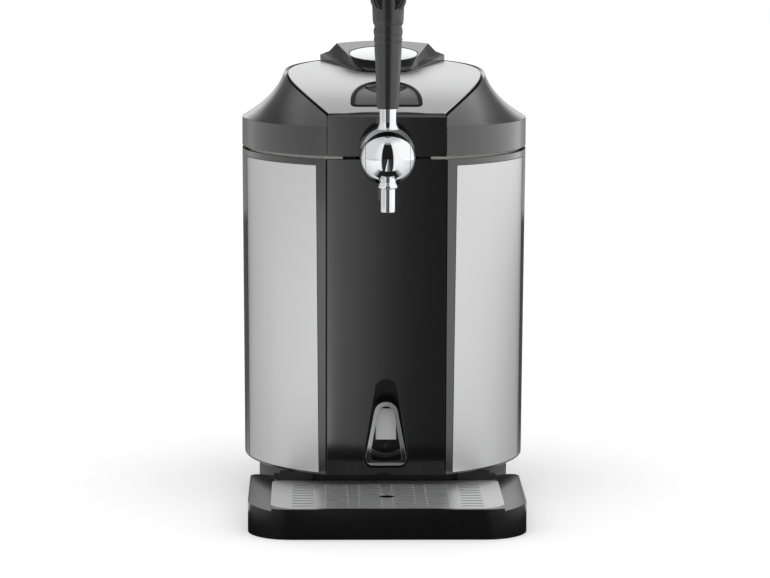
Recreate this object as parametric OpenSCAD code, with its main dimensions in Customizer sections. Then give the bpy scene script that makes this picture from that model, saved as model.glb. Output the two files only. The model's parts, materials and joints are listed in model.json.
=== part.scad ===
// Countertop draught-beer dispenser for five-litre party kegs.
// Front is -Y, up is +Z. The origin is on the table, under the middle of the whole machine.
// Shapes are written from the axis of the round body, which stands axis_y behind the origin.

/* [Body] */
// Radius of the body at the seam under the lid
body_r_top = 137.5; // [137:0.1:138]
// Radius of the body at its lower edge
body_r_bottom = 135.7; // [135.2:0.1:136.2]
// Height of the body's lower edge above the table
base_z = 37; // [36:0.5:38]
// Height of the body's top edge, under the lid
seam_z = 337; // [336.5:0.5:337.5]
// Wall of the moulded casing
shell_t = 3; // [2.5:0.1:3.2]
// Half the width of the flat front
facet_half = 55.7; // [54:0.1:56]
// Distance from the body's axis to the flat front at the seam
facet_y = 125.7; // [125.6:0.1:126]
// How far the flat front leans in towards its foot
facet_lean = 2; // [1.6:0.1:2.2]
// Thickness of the glossy front panel
fascia_t = 3; // [2.6:0.1:3]
// Thickness of the brushed side panels
steel_t = 0.8; // [0.6:0.1:0.9]

/* [Keg chamber] */
// Radius of the chamber that takes the keg
chamber_r = 90; // [89:0.5:90]
// Height of the chamber's floor
chamber_z = 55; // [54.8:0.1:55.4]
// Wall of the chamber
liner_t = 1.5; // [1:0.1:1.5]

/* [Lid] */
// Gap between the body and the lid
seam_gap = 2.6; // [2.4:0.1:3]
// Height at which the upright collar turns into the shoulder
collar_z = 367; // [366:0.5:368]
// Half the width of the steel top where it meets the shoulder
top_half = 97; // [96:0.5:98]
// Reach of the steel top's outline in front of the body's axis
top_front = 153; // [152:0.5:154]
// Reach of the steel top's outline behind the body's axis
top_rear = 114; // [113:0.5:115]
// Thickness of the steel top
top_t = 1.2; // [1:0.1:1.4]

/* [Tap] */
// Radius of the chrome ball
ball_r = 26; // [25.8:0.1:26.2]
// Distance from the body's axis to the middle of the ball
ball_y = 157.7; // [157:0.1:158]
// Height of the middle of the ball
ball_z = 342; // [341.8:0.1:342.2]
// Radius of the spout's tube
spout_r = 6.9; // [6.7:0.1:7]
// Height of the spout's mouth above the table
spout_z = 293; // [290:0.5:296]
// Height of the middle of the handle's round head
head_z = 489; // [486:0.5:492]

/* [Tray] */
// Width of the drip tray
tray_w = 257.5; // [256:0.5:259]
// Height of the drip tray's rim
tray_h = 28.3; // [28:0.1:29]
// Distance from the body's axis to the front of the tray
tray_front = 236; // [236:0.5:237]
// Rows of drain slots
slot_rows = 9; // [7:1:9]
// Columns of drain slots
slot_columns = 6; // [4:2:6]

/* [Cooling] */
// Radius of the rear fan's blades
fan_r = 36; // [30:1:37]
// Number of the rear fan's blades
fan_blades = 7; // [5:1:9]
// Number of fins on the heat sink
sink_fins = 15; // [9:2:17]

/* [Hidden] */
$fn = 96;

black = "#1b1b1d";
satin_black = "#2a2a2c";
steel = "#c3c4c6";
chrome = "#e2e4e8";
dark_rubber = "#151515";

axis_y = 31.5;
lid_z = seam_z + seam_gap;
facet_tilt = atan(facet_lean / (seam_z - base_z));
facet_edge = atan(facet_half / facet_y);

// Steel top: height along its length, in front of (-) and behind (+) the body's axis
crest_z = 427.45;
crest_fall = 3500;
crest_reach = 195;

// Button, a half-oval on the slope of the steel top
button_at = [0, -80];
button_tilt = 14.8;
button_w = 31.5;
button_len = 56.5;
button_travel = 3;

// Crown and gas cap behind it
cap_y = 40;
cap_z = 425;
cap_tilt = 8.4;
cap_r = 33.4;
crown_t = 3;

// Hinge of the lid
hinge_y = 146;
hinge_z = 338;
hinge_pin_r = 2.5;

// Rear cooling unit
rear_y = 171;
rear_half = 72;
rear_low = 18;
rear_high = 306;
fan_z = 170;

function top_z(y) = crest_z - crest_fall / (y + crest_reach);
function bezier(a, c, b, s) = (1 - s) * (1 - s) * a + 2 * s * (1 - s) * c + s * s * b;
function arc(centre, r, from, to, steps) = [for (i = [0:steps])
    let (a = from + (to - from) * i / steps) centre + r * [cos(a), sin(a)]];
function mirrored(half) = concat(half, [for (i = [len(half) - 1:-1:0]) [-half[i][0], half[i][1]]]);

// Rounded rectangle from two corners, with its own radius at the front and at the rear
function rounded(low, high, r_front, r_rear) = concat(
    arc([high[0] - r_front, low[1] + r_front], r_front, -90, 0, 10),
    arc([high[0] - r_rear, high[1] - r_rear], r_rear, 0, 90, 6),
    arc([low[0] + r_rear, high[1] - r_rear], r_rear, 90, 180, 6),
    arc([low[0] + r_front, low[1] + r_front], r_front, 180, 270, 10));

// Tall arch: a round head of radius r_head over a wider foot with corners of radius r_foot
function arch(foot_half, height, r_head, r_foot) =
    let (lean = atan2(foot_half - r_head, height - r_head - r_foot))
    mirrored(concat(
        arc([foot_half - r_foot, r_foot], r_foot, -90, lean, 8),
        arc([0, height - r_head], r_head, lean, 90, 10)));

// Outline of the steel top in plan, drawn in by inset
function top_outline(inset) = mirrored(concat(
    [for (t = [top_start():(90 - top_start()) / 14:90.01])
        [(top_half - inset) * sin(t), -(top_front - inset) * cos(t)]],
    [for (t = [97.5:7.5:180]) [(top_half - inset) * sin(t), -(top_rear - inset) * cos(t)]]));
function top_start() = asin((facet_half + 0.5) / top_half);

module placed() translate([0, axis_y, 0]) children();

// Frame of the leaning flat front: origin on it at the seam, +Y into the body
module on_facet() translate([0, -facet_y, seam_z]) rotate([facet_tilt, 0, 0]) children();

// Frame at the middle of the ball
module at_ball() translate([0, -ball_y, ball_z]) children();

// Frame of the gas cap: its axis is +Z
module at_cap() translate([0, cap_y, cap_z]) rotate([cap_tilt, 0, 0]) children();

// Frame of the release button: +Z out of the sloping top
module at_button()
    translate([0, button_at[1], top_z(button_at[1])]) rotate([button_tilt, 0, 0]) children();

// Slab that follows the steel top from over to under it, measured straight down
module top_slab(over, under) {
    lengthwise = [for (i = [0:28]) -132 + 252 * i / 28];
    rotate([90, 0, 90]) translate([0, 0, -110]) linear_extrude(220) polygon(concat(
        [for (y = lengthwise) [y, top_z(y) + over]],
        [for (i = [28:-1:0]) [lengthwise[i], top_z(lengthwise[i]) - under]]));
}

module top_prism(inset)
    translate([0, 0, 330]) linear_extrude(130) polygon(top_outline(inset));

// Space in front of the steel top's front edge, which bows back between its corners
module front_of_top() {
    sagitta = 4.6;
    r = (pow(facet_half, 2) + pow(sagitta, 2)) / (2 * sagitta);
    translate([0, -119.4 - r, 300]) cylinder(r = r, h = 200, $fn = 360);
}

// Window in the casing's wall that one or both side panels fill
module panel_window(side, grow) {
    high = seam_z - 6.2 + grow;
    low = base_z + 1.8 - grow;
    rotate([90, 0, 0]) linear_extrude(160) polygon([
        [side * (66 - grow), high], [side * (132.1 + grow), high],
        [side * (130.3 + grow), low], [side * (63.5 - grow), low]]);
}

module cone_skin(outset, inset) {
    difference() {
        translate([0, 0, base_z]) cylinder(
            r1 = body_r_bottom + outset, r2 = body_r_top + outset, h = seam_z - base_z);
        translate([0, 0, base_z]) cylinder(
            r1 = body_r_bottom - inset, r2 = body_r_top - inset, h = seam_z - base_z);
    }
}

// Room that the tap's shank needs through the front walls
module shank_slot(r, from_y, to_y) {
    translate([0, from_y, ball_z]) rotate([-90, 0, 0]) cylinder(r = r, h = to_y - from_y);
}

// ---------------------------------------------------------------- body

module casing() {
    edge = 1.2;
    color(black) placed() difference() {
        rotate_extrude() polygon(concat(
            [[0, base_z]],
            arc([body_r_bottom - edge, base_z + edge], edge, -90, 0, 6),
            [[body_r_top, seam_z], [body_r_top - shell_t, seam_z],
             [body_r_bottom - shell_t, base_z + shell_t], [0, base_z + shell_t]]));
        on_facet() translate([-140, -60, -320]) cube([280, 60, 340]);
        on_facet() translate([-facet_half - 1.2, -5, -seam_z + base_z - 1])
            cube([2 * facet_half + 2.4, fascia_t + 6.2, 330]);
        intersection() {
            cone_skin(1, steel_t + 0.3);
            union() {
                panel_window(1, 0.4);
                panel_window(-1, 0.4);
            }
        }
        translate([-rear_half + 10, 90, 60]) cube([2 * rear_half - 20, 60, 236]);
        for (x = [-90, 90], y = [-40, 40]) {
            translate([x, y, base_z - 1]) cylinder(r = 2.2, h = 6, $fn = 24);
        }
    }
}

module side_panel(side) {
    color(steel) placed() intersection() {
        cone_skin(0, steel_t);
        panel_window(side, 0);
    }
}

module side_panel_left() side_panel(-1);

module side_panel_right() side_panel(1);

module front_fascia() {
    height = seam_z - base_z;
    color(black) placed() on_facet() difference() {
        translate([-facet_half, 0, -height]) cube([2 * facet_half, fascia_t, height]);
        translate([0, 0, -height + niche_low]) rotate([90, 0, 0])
            translate([0, 0, -fascia_t - 1]) linear_extrude(fascia_t + 2)
            polygon(arch(niche_half, niche_h, niche_head, 9));
        translate([0, -1, ball_z - seam_z]) rotate([-90, 0, 0])
            cylinder(r = shank_r + 0.6, h = fascia_t + 2);
    }
}

// Niche of the bottle opener, low on the front
niche_low = 7;
niche_h = 85;
niche_half = 21;
niche_head = 10.5;
niche_depth = 17;

module niche_cup() {
    wall = 2;
    height = seam_z - base_z;
    color(black) placed() on_facet() translate([0, 0, -height + niche_low]) rotate([90, 0, 0])
        difference() {
            translate([0, -wall, -niche_depth - wall - fascia_t])
                linear_extrude(niche_depth + wall)
                polygon(arch(niche_half + wall, niche_h + 2 * wall, niche_head + wall, 11));
            translate([0, 0, -niche_depth - fascia_t]) linear_extrude(niche_depth + 1)
                polygon(arch(niche_half, niche_h, niche_head, 9));
            for (z = opener_holes) {
                translate([0, z + opener_up, -niche_depth - 6]) cylinder(r = 1.6, h = 6, $fn = 24);
            }
        }
}

// Opener in its own frame: foot on the niche's floor, +Z out of the front
opener_half = 19.3;
opener_h = 61;
opener_head = 11;
opener_proud = 4;
opener_wall = 4.2;
opener_holes = [17, 52];
opener_up = 3;

module at_opener() placed() on_facet()
    translate([0, 0, base_z - seam_z + niche_low + opener_up]) rotate([90, 0, 0]) children();

module opener_hole(gap)
    translate([0, opener_wall + gap, 0]) polygon(arch(opener_half - opener_wall - gap,
        opener_h - 2 * opener_wall - 2 * gap, opener_head - opener_wall + 1 - gap, 4));

module opener_frame() {
    lip_rise = 33.6;
    back = -fascia_t - niche_depth;
    color(chrome) at_opener() {
        difference() {
            translate([0, 0, back + 4]) linear_extrude(opener_proud - back - 4)
                polygon(arch(opener_half, opener_h, opener_head, 7));
            translate([0, 0, back + 7]) linear_extrude(40) opener_hole(0);
            for (z = opener_holes) {
                translate([0, z, back]) cylinder(r = 1.7, h = 12, $fn = 24);
            }
        }
        // Curved catch lip that goes under the edge of a crown cap
        intersection() {
            translate([0, lip_rise, -12.5]) difference() {
                cylinder(r = lip_rise - 7.4, h = 12, $fn = 180);
                translate([0, 0, -1]) cylinder(r = lip_rise - 10.8, h = 20, $fn = 180);
            }
            translate([0, 0, -20]) linear_extrude(30) opener_hole(-0.5);
        }
    }
}

module opener_plate() {
    color(steel) at_opener() intersection() {
        translate([0, 24.5, 0]) rotate([90, 0, 90]) translate([0, 0, -9.6]) linear_extrude(19.2)
            polygon([[0, 1.5], [29, -3.4], [29, -6], [4, -4.4], [0.6, -2.6]]);
        translate([0, 0, -12]) linear_extrude(20) opener_hole(0.05);
    }
}

module opener_screws() {
    color(steel) at_opener() for (z = opener_holes) {
        translate([0, z, -fascia_t - niche_depth - 3.4]) {
            cylinder(r = 1.5, h = 10.4, $fn = 24);
            translate([0, 0, 10.4]) cylinder(r1 = 3, r2 = 2.6, h = 2, $fn = 24);
        }
    }
}

module pedestal() {
    drum_r = 121.5;
    front = 95.8;
    color(satin_black) placed() difference() {
        translate([0, 0, 6.6]) cylinder(r = drum_r, h = base_z - 6.8);
        translate([0, 0, 5]) cylinder(r = drum_r - 3, h = base_z - 8);
        translate([-150, -front - 60, 0]) cube([300, 60, base_z + 1]);
        for (x = [-90, 90], y = [-40, 40]) {
            translate([x, y, base_z - 8]) cylinder(r = 2.2, h = 10, $fn = 24);
        }
        translate([-rear_half - 0.4, 100, 5]) cube([2 * rear_half + 0.8, 40, base_z]);
    }
    color(satin_black) placed() intersection() {
        translate([0, 0, 6.6]) cylinder(r = drum_r - 2, h = base_z - 6.8);
        translate([-150, -front, 6.6]) cube([300, 3, base_z - 6.8]);
    }
}

module base_plate() {
    color(satin_black) placed() difference() {
        translate([0, 0, 4]) cylinder(r = 120.5, h = 2.5);
        translate([-150, -156, 0]) cube([300, 60, 20]);
        for (x = [-66, 66], y = [-66, 76]) {
            translate([x, y, 0]) cylinder(r = 3, h = 20, $fn = 32);
        }
    }
}

module feet() {
    color(dark_rubber) placed() for (x = [-66, 66], y = [-66, 76]) {
        translate([x, y, 0]) cylinder(r1 = 12, r2 = 13, h = 4, $fn = 48);
        translate([x, y, 3]) cylinder(r = 2.9, h = 5, $fn = 32);
    }
}

module keg_liner() {
    top = seam_z - 9.2;
    color("silver") placed() rotate_extrude() polygon([
        [0, chamber_z - 2], [chamber_r + liner_t, chamber_z - 2],
        [chamber_r + liner_t, top - liner_t], [chamber_r + 5, top - liner_t],
        [chamber_r + 5, top], [chamber_r, top],
        [chamber_r, chamber_z], [0, chamber_z]]);
}

// Coupler's parking pocket in the rim, right of the tap
park_r = 110;
park_turn = 47;
line_r = 101.4;
line_z = seam_z - 5.5;
shank_r = 10;

module at_parking() rotate([0, 0, park_turn]) translate([0, -park_r, 0]) children();

module insulation() {
    low = base_z + shell_t + 0.3;
    color("#e8d9a8") placed() difference() {
        translate([0, 0, low]) cylinder(r = body_r_bottom - shell_t - 0.5, h = seam_z - 9.7 - low);
        translate([0, 0, chamber_z - 2.3]) cylinder(r = chamber_r + liner_t + 0.3, h = 300);
        translate([0, 0, seam_z - 11.3]) cylinder(r = chamber_r + 5.4, h = 10);
        translate([-80, -180, 0]) cube([160, 180 - facet_y + 2 * facet_lean + 3, 400]);
        translate([-niche_half - 4, -140, base_z])
            cube([2 * niche_half + 8, 40, niche_low + niche_h + 8]);
        translate([-rear_half + 8, 91, 58]) cube([2 * rear_half - 16, 80, 240]);
        translate([-34.3, 80, 117.7]) cube([68.6, 30, 104.6]);
        translate([0, 0, seam_z - 42]) at_parking() cylinder(r = 16, h = 50);
        translate([-17, -122, seam_z - 20]) cube([34, 30, 30]);
    }
}

module body_rim() {
    low = seam_z - 9;
    high = seam_z - 1;
    color(satin_black) placed() difference() {
        translate([0, 0, low]) cylinder(r = body_r_top - shell_t - 0.3, h = high - low);
        translate([0, 0, low - 1]) cylinder(r = chamber_r + 2, h = 20);
        translate([-80, -180, low - 1]) cube([160, 180 - facet_y + fascia_t + 0.4, 20]);
        shank_slot(shank_r + 0.4, -140, -100);
        // Well for the elbow, and the groove and pocket of the parked coupler
        translate([-9, -109.6, low - 1]) cube([18, 16, 20]);
        rotate([0, 0, -90]) rotate_extrude(angle = park_turn, start = 0)
            translate([line_r - 4.3, low - 1]) square([8.6, 12]);
        translate([0, 0, low - 1]) at_parking() cylinder(r = 15, h = 20);
        for (x = [-34, 34]) {
            translate([x - 6.4, -119, low - 1]) cube([12.8, 13, 20]);
        }
        translate([-rear_half + 8, 118, low - 1]) cube([2 * rear_half - 16, 40, 4]);
    }
}

// ---------------------------------------------------------------- cooling unit

module cold_block() {
    color("silver") placed() difference() {
        translate([-34, 84, 118]) cube([68, 22, 104]);
        translate([0, 0, 100]) cylinder(r = chamber_r + liner_t + 0.05, h = 140);
    }
}

module peltier_module() {
    color("white") placed() translate([-20, 106.1, fan_z - 20]) cube([40, 3.8, 40]);
}

module heat_sink() {
    width = 96;
    pitch = (width - 2) / (sink_fins - 1);
    color("silver") placed() {
        translate([-width / 2, 110, fan_z - 50]) cube([width, 7, 100]);
        for (i = [0:sink_fins - 1]) {
            translate([-width / 2 + i * pitch, 116, fan_z - 50]) cube([2, 22, 100]);
        }
    }
}

module at_fan() placed() translate([0, 0, fan_z]) rotate([-90, 0, 0]) children();

module fan_frame() {
    bore = fan_r + 1.5;
    color(black) at_fan() difference() {
        translate([-44, -44, 139]) cube([88, 88, 25]);
        translate([0, 0, 138]) cylinder(r = bore, h = 22.5);
        translate([0, 0, 158]) difference() {
            cylinder(r = bore, h = 10);
            translate([0, 0, -1]) cylinder(r = 15, h = 12);
            for (a = [0:90:270]) {
                rotate([0, 0, a]) translate([0, -2, -1]) cube([60, 4, 12]);
            }
        }
        translate([0, 0, 130]) cylinder(r = 2.06, h = 31, $fn = 32);
        for (x = [-38, 38], y = [-38, 38]) {
            translate([x, y, 130]) cylinder(r = 2.2, h = 40, $fn = 24);
        }
    }
}

module fan_rotor() {
    color(satin_black) at_fan() {
        translate([0, 0, 141]) cylinder(r = 14, h = 16);
        translate([0, 0, 156]) cylinder(r = 2, h = 4.5, $fn = 32);
        for (i = [0:fan_blades - 1]) {
            rotate([0, 0, i * 360 / fan_blades]) translate([12.5, 0, 149])
                rotate([38, 0, 0]) translate([0, -1, -9]) cube([fan_r - 13, 2, 18]);
        }
    }
}

// Housing behind the body, with an outline that wraps the casing
module rear_cover() {
    wall = 2.5;
    inner_low = rear_low + wall;
    color(satin_black) placed() difference() {
        translate([0, 0, rear_low]) linear_extrude(rear_high - rear_low)
            polygon(rounded([-rear_half, 90], [rear_half, rear_y], 1, 16));
        translate([0, 0, inner_low]) linear_extrude(rear_high - rear_low - 2 * wall)
            polygon(rounded([-rear_half + wall, 60], [rear_half - wall, rear_y - wall], 1, 14));
        translate([0, 0, base_z - 0.3]) cylinder(
            r1 = body_r_bottom + 0.2, r2 = body_r_top + 0.3, h = seam_z - base_z + 0.3);
        translate([0, 0, -1]) cylinder(r = 122, h = base_z + 2);
        // Exhaust grille over the fan, and slots for the air coming in
        for (z = [-36:8:36]) {
            reach = sqrt(pow(fan_r + 2, 2) - z * z);
            translate([-reach, rear_y - 6, fan_z + z - 2.2]) cube([2 * reach, 12, 4.4]);
        }
        for (side = [-1, 1], z = [0:12:96]) {
            translate([side * rear_half - 6, 140, fan_z - 50 + z]) cube([12, 18, 5]);
        }
        translate([-50, rear_y - 6, 34]) cube([28, 12, 20.6]);
        translate([22, rear_y - 6, 34]) cube([19.4, 12, 13.4]);
        for (x = [-58, 58], z = [40, 290]) {
            translate([x, rear_y - 8, z]) rotate([-90, 0, 0]) cylinder(r = 1.8, h = 20, $fn = 24);
        }
    }
}

module cover_screws() {
    color(steel) placed() for (x = [-58, 58], z = [40, 290]) {
        translate([x, rear_y - 12, z]) rotate([-90, 0, 0]) {
            cylinder(r = 1.6, h = 12.2, $fn = 24);
            translate([0, 0, 12]) cylinder(r1 = 3.4, r2 = 2.8, h = 1.8, $fn = 24);
        }
    }
}

module control_board() {
    color("darkgreen") placed() {
        translate([-50, 140, 74]) cube([100, 1.6, 40]);
        translate([-40, 141.6, 80]) cube([24, 14, 26]);
        translate([-6, 141.6, 80]) cube([30, 18, 20]);
    }
}

module power_inlet() {
    color(dark_rubber) placed() translate([-50, rear_y, 34]) difference() {
        union() {
            translate([0.2, -22, 0.2]) cube([27.6, 22, 20.2]);
            translate([-3, 0, -3]) cube([34, 2, 26.6]);
        }
        translate([3, -16, 3]) cube([22, 24, 14.6]);
    }
    color("silver") placed() for (x = [-7, 0, 7]) {
        translate([-36 + x - 1, rear_y - 17, 43 - 2 + (x == 0 ? 2.5 : 0)]) cube([2, 12, 3.6]);
    }
}

// Rocker switch beside the inlet
module at_switch() placed() translate([31.7, rear_y, 40.7]) children();

module switch_frame() {
    color(dark_rubber) at_switch() difference() {
        union() {
            translate([-9.5, -14, -6.5]) cube([19, 14, 13]);
            translate([-11.5, 0, -8.5]) cube([23, 1.6, 17]);
        }
        translate([-8, -12, -5]) cube([16, 20, 10]);
        translate([-9.4, -3.5, 0]) rotate([0, 90, 0]) cylinder(r = 1.55, h = 18.8, $fn = 32);
    }
}

module power_switch() {
    color(black) at_switch() translate([0, -3.5, 0]) rotate([8, 0, 0]) {
        translate([-7.6, 0, 0]) rotate([90, 0, 90]) linear_extrude(15.2)
            polygon([[-3, -2.6], [-3, 2.6], [3.2, 4.1], [4.6, 4.1], [4, 0], [4.6, -4.1], [3.2, -4.1]]);
        translate([-9.2, 0, 0]) rotate([0, 90, 0]) cylinder(r = 1.5, h = 18.4, $fn = 32);
    }
}

// ---------------------------------------------------------------- hinge

module hinge_base() {
    color(satin_black) placed() difference() {
        union() {
            for (x = [-34, 18.3]) {
                translate([x, hinge_y, hinge_z]) rotate([0, 90, 0]) cylinder(r = 6, h = 15.7);
                translate([x, 128, hinge_z - 24]) cube([15.7, 24, 24]);
            }
            translate([-34, 128, hinge_z - 24]) cube([68, 22, 12]);
        }
        translate([0, 0, base_z]) cylinder(
            r1 = body_r_bottom + 0.05, r2 = body_r_top + 0.05, h = seam_z - base_z + 6);
        translate([-40, hinge_y, hinge_z]) rotate([0, 90, 0])
            cylinder(r = hinge_pin_r + 0.03, h = 80, $fn = 48);
    }
}

module hinge_pin() {
    color(steel) placed() translate([-34, hinge_y, hinge_z]) rotate([0, 90, 0])
        cylinder(r = hinge_pin_r, h = 68, $fn = 48);
}

module hinge_arm() {
    color(satin_black) placed() difference() {
        union() {
            translate([-17.7, hinge_y, hinge_z]) rotate([0, 90, 0]) cylinder(r = 6, h = 35.4);
            translate([-17.7, 128, hinge_z + 3]) cube([35.4, 21, 12]);
        }
        translate([0, 0, hinge_z - 10]) cylinder(r = body_r_top, h = 40);
        translate([-40, hinge_y, hinge_z]) rotate([0, 90, 0])
            cylinder(r = hinge_pin_r + 0.06, h = 80, $fn = 48);
    }
}

// ---------------------------------------------------------------- tap

cap_cut = 20.4;
slot_floor_r = 20;
spout_ahead = 13.3;

// Wedge from the ball's axis, between two angles above the horizontal towards the front
module ball_wedge(from, to) {
    rotate([90, 0, 90]) translate([0, 0, -cap_cut - 1]) linear_extrude(2 * cap_cut + 2)
        polygon(concat([[0, 0]], arc([0, 0], 40, 180 - from, 180 - to, 8)));
}

module tap_body() {
    color(chrome) placed() at_ball() difference() {
        union() {
            intersection() {
                sphere(r = ball_r);
                translate([-cap_cut, -40, -40]) cube([2 * cap_cut, 80, 80]);
            }
            rotate([-90, 0, 0]) cylinder(r = shank_r, h = 25.7);
        }
        // Slot over the top, in which the lever's yoke swings
        intersection() {
            difference() {
                sphere(r = ball_r + 2);
                sphere(r = slot_floor_r);
            }
            ball_wedge(53, 118);
        }
        translate([0, 6, 0]) rotate([-90, 0, 0]) cylinder(r = 5, h = 30, $fn = 48);
        translate([0, -spout_ahead, -30]) cylinder(r = 7.4, h = 20);
        translate([0, -spout_ahead, -30]) cylinder(r = 9.5, h = 8.9);
        translate([0, -spout_ahead, -12]) rotate([-67, 0, 0]) cylinder(r = 3, h = 22, $fn = 32);
        translate([-40, 0, 0]) rotate([0, 90, 0]) cylinder(r = 3, h = 80, $fn = 48);
    }
}

module tap_pivot_pin() {
    color(steel) placed() at_ball() translate([-24, 0, 0]) rotate([0, 90, 0])
        cylinder(r = 3, h = 48, $fn = 48);
}

module tap_collar() {
    color(chrome) placed() translate([0, -132, ball_z]) rotate([-90, 0, 0]) difference() {
        cylinder(r1 = 13, r2 = 15.5, h = 5.9);
        translate([0, 0, -1]) cylinder(r = shank_r + 0.02, h = 8);
    }
}

module tap_shank() {
    color(chrome) placed() difference() {
        shank_slot(shank_r, -132, -109.2);
        shank_slot(5, -133, -100);
    }
}

module shank_elbow() {
    color(chrome) placed() difference() {
        union() {
            translate([-8, -109.2, seam_z - 8.8]) cube([16, 14, 21]);
            translate([0, -101, line_z]) rotate([0, 90, 0]) cylinder(r = 2.1, h = 12, $fn = 32);
        }
        shank_slot(3.2, -112, -99);
        translate([0, -101, line_z]) cylinder(r = 1.6, h = 12, $fn = 24);
        translate([0, -101, line_z]) rotate([0, 90, 0]) cylinder(r = 1.3, h = 14, $fn = 24);
    }
}

module spout() {
    color(chrome) placed() translate([0, -ball_y - spout_ahead, 0]) difference() {
        rotate_extrude() polygon([
            [0, spout_z], [spout_r, spout_z], [spout_r, 314.8], [9.2, 315.4], [9.2, 317.6],
            [7.2, 320.6], [7.2, 330], [0, 330]]);
        translate([0, 0, spout_z - 1]) cylinder(r = 4.4, h = 60, $fn = 48);
    }
}

module valve_piston() {
    color(steel) placed() at_ball() {
        translate([0, 8.5, 0]) rotate([-90, 0, 0]) cylinder(r = 4.95, h = 5, $fn = 48);
        translate([0, 13, 0]) rotate([-90, 0, 0]) cylinder(r = 3, h = 8, $fn = 48);
        translate([0, 20.5, 0]) rotate([-90, 0, 0]) cylinder(r = 4.95, h = 4, $fn = 48);
    }
}

yoke_r = 25.2;
yoke_rise = 3.4;
yoke_bore = 24.2;
yoke_half = 3.2;
stem_r = 8.2;
stem_top = 45;

module tap_lever() {
    bore_end = 24.3;
    bore_r = 3.06;
    side_cut = cap_cut + 0.3;
    edge = acos(side_cut / ball_r);
    color(chrome) placed() at_ball() {
        // Side cap of the ball, bored for the pivot pin
        for (side = [0, 1]) {
            mirror([side, 0, 0]) rotate([0, 90, 0]) rotate_extrude() polygon(concat(
                [[0, bore_end], [bore_r, bore_end], [bore_r, side_cut]],
                [for (i = [0:8]) let (a = edge * (1 - i / 8)) ball_r * [sin(a), cos(a)]]));
        }
        // Yoke over the ball
        rotate([90, 0, 0]) difference() {
            translate([0, yoke_rise, -yoke_half]) cylinder(r = yoke_r, h = 2 * yoke_half);
            translate([0, 0, -yoke_half - 1]) cylinder(r = yoke_bore, h = 2 * yoke_half + 2);
            translate([-40, -60, -10]) cube([80, 69, 20]);
        }
        rotate_extrude() polygon([
            [0, 26.2], [11, 26.2], [9.3, 28.6], [8.5, 30.6], [stem_r, 33], [stem_r, stem_top],
            [4, stem_top],
            [4, stem_top + 41], [0, stem_top + 41]]);
    }
}

// Handle: radius at each height above the middle of the ball
module tap_handle() {
    head = head_z - ball_z;
    color(satin_black) placed() at_ball() difference() {
        union() {
            rotate_extrude() polygon(concat(
                [[0, stem_top + 0.1], [9.2, stem_top + 0.1], [10, 45.8], [11.4, 76], [12, 92]],
                [[12.5, 99], [12.7, 103.4], [12.2, 104.4], [12.2, 105.4], [12.8, 106.4]],
                [[13.2, 108.6], [12.7, 110.4], [12.7, 112], [13.3, 114], [13.3, 117.4]],
                [[12.6, 119.6], [12.6, 121.4], [13.9, 123.8], [14.2, 127], [14.7, 140]],
                [[14.3, 150], [0, 156]]));
            translate([0, 11, head]) rotate([90, 0, 0]) rotate_extrude() polygon([
                [0, 0], [13, 0], [15.6, 1.2], [16.6, 4], [16.6, 18], [15.8, 21], [14, 22.4], [0, 22.4]]);
        }
        translate([0, 0, stem_top - 2]) cylinder(r = 4.05, h = 44, $fn = 48);
        translate([0, -11.4, head]) rotate([90, 0, 0]) translate([0, 0, -1]) cylinder(r = 12.5, h = 3);
    }
}

module handle_medallion() {
    color(steel) placed() at_ball() translate([0, -10.42, head_z - ball_z]) rotate([90, 0, 0]) {
        cylinder(r = 12.3, h = 0.9);
        translate([0, 0, 0.8]) cylinder(r1 = 12.3, r2 = 11.6, h = 0.6);
    }
}

module beer_line() {
    color("#e9ecec") placed() rotate([0, 0, -84.9]) rotate_extrude(angle = 35.9)
        translate([line_r, line_z]) difference() {
            circle(r = 4, $fn = 32);
            circle(r = 2.6, $fn = 32);
        }
}

module keg_coupler() {
    color(satin_black) placed() translate([0, 0, seam_z - 38]) at_parking() difference() {
        union() {
            cylinder(r = 9, h = 12);
            translate([0, 0, 11]) cylinder(r = 14, h = 22);
            translate([0, 0, 32]) cylinder(r = 10, h = 4);
        }
        translate([0, 0, -1]) cylinder(r = 6, h = 16, $fn = 48);
    }
}

// ---------------------------------------------------------------- lid

module lid_collar() {
    color(black) placed() difference() {
        translate([0, 0, lid_z]) cylinder(r = body_r_top, h = collar_z - lid_z);
        translate([0, 0, lid_z - 1]) cylinder(r = body_r_top - shell_t, h = 60);
        translate([-facet_half - 0.2, -160, lid_z - 1])
            cube([2 * facet_half + 0.4, 160 - facet_y + fascia_t + 0.4, 60]);
    }
}

// Shoulder: a concave skin from the collar up to the edge of the steel top
shoulder_turns = 60;
shoulder_rise = 8;
shoulder_t = 3.4;

function turn_of(i) = facet_edge + (360 - 2 * facet_edge) * i / shoulder_turns;
function top_turn(turn) = turn < 90
    ? top_start() + (90 - top_start()) * (turn - facet_edge) / (90 - facet_edge)
    : turn;
function foot_point(turn, inset) = (body_r_top - inset) * [sin(turn), -cos(turn)];
function edge_point(turn, inset) = let (t = top_turn(turn), b = t < 90 ? top_front : top_rear)
    [(top_half - inset) * sin(t), -(b - inset) * cos(t)];
function fold(turn) = turn > 180 ? 360 - turn : turn;
function flipped(p, turn) = turn > 180 ? [-p[0], p[1]] : p;

// Point of the shoulder: turn round the body, s from foot (0) to edge (1), inset into the wall
function shoulder_point(turn, s, inset) =
    let (a = fold(turn),
        foot = foot_point(a, inset),
        edge = edge_point(a, inset),
        rise = top_z(edge_point(a, 0)[1]) - 0.8 * inset - collar_z,
        out = bezier(0, 0.8, 1, s),
        up = bezier(0, 0.42, 1, s),
        p = flipped(foot + out * (edge - foot), turn))
    [p[0], p[1], collar_z + up * rise];

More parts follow.
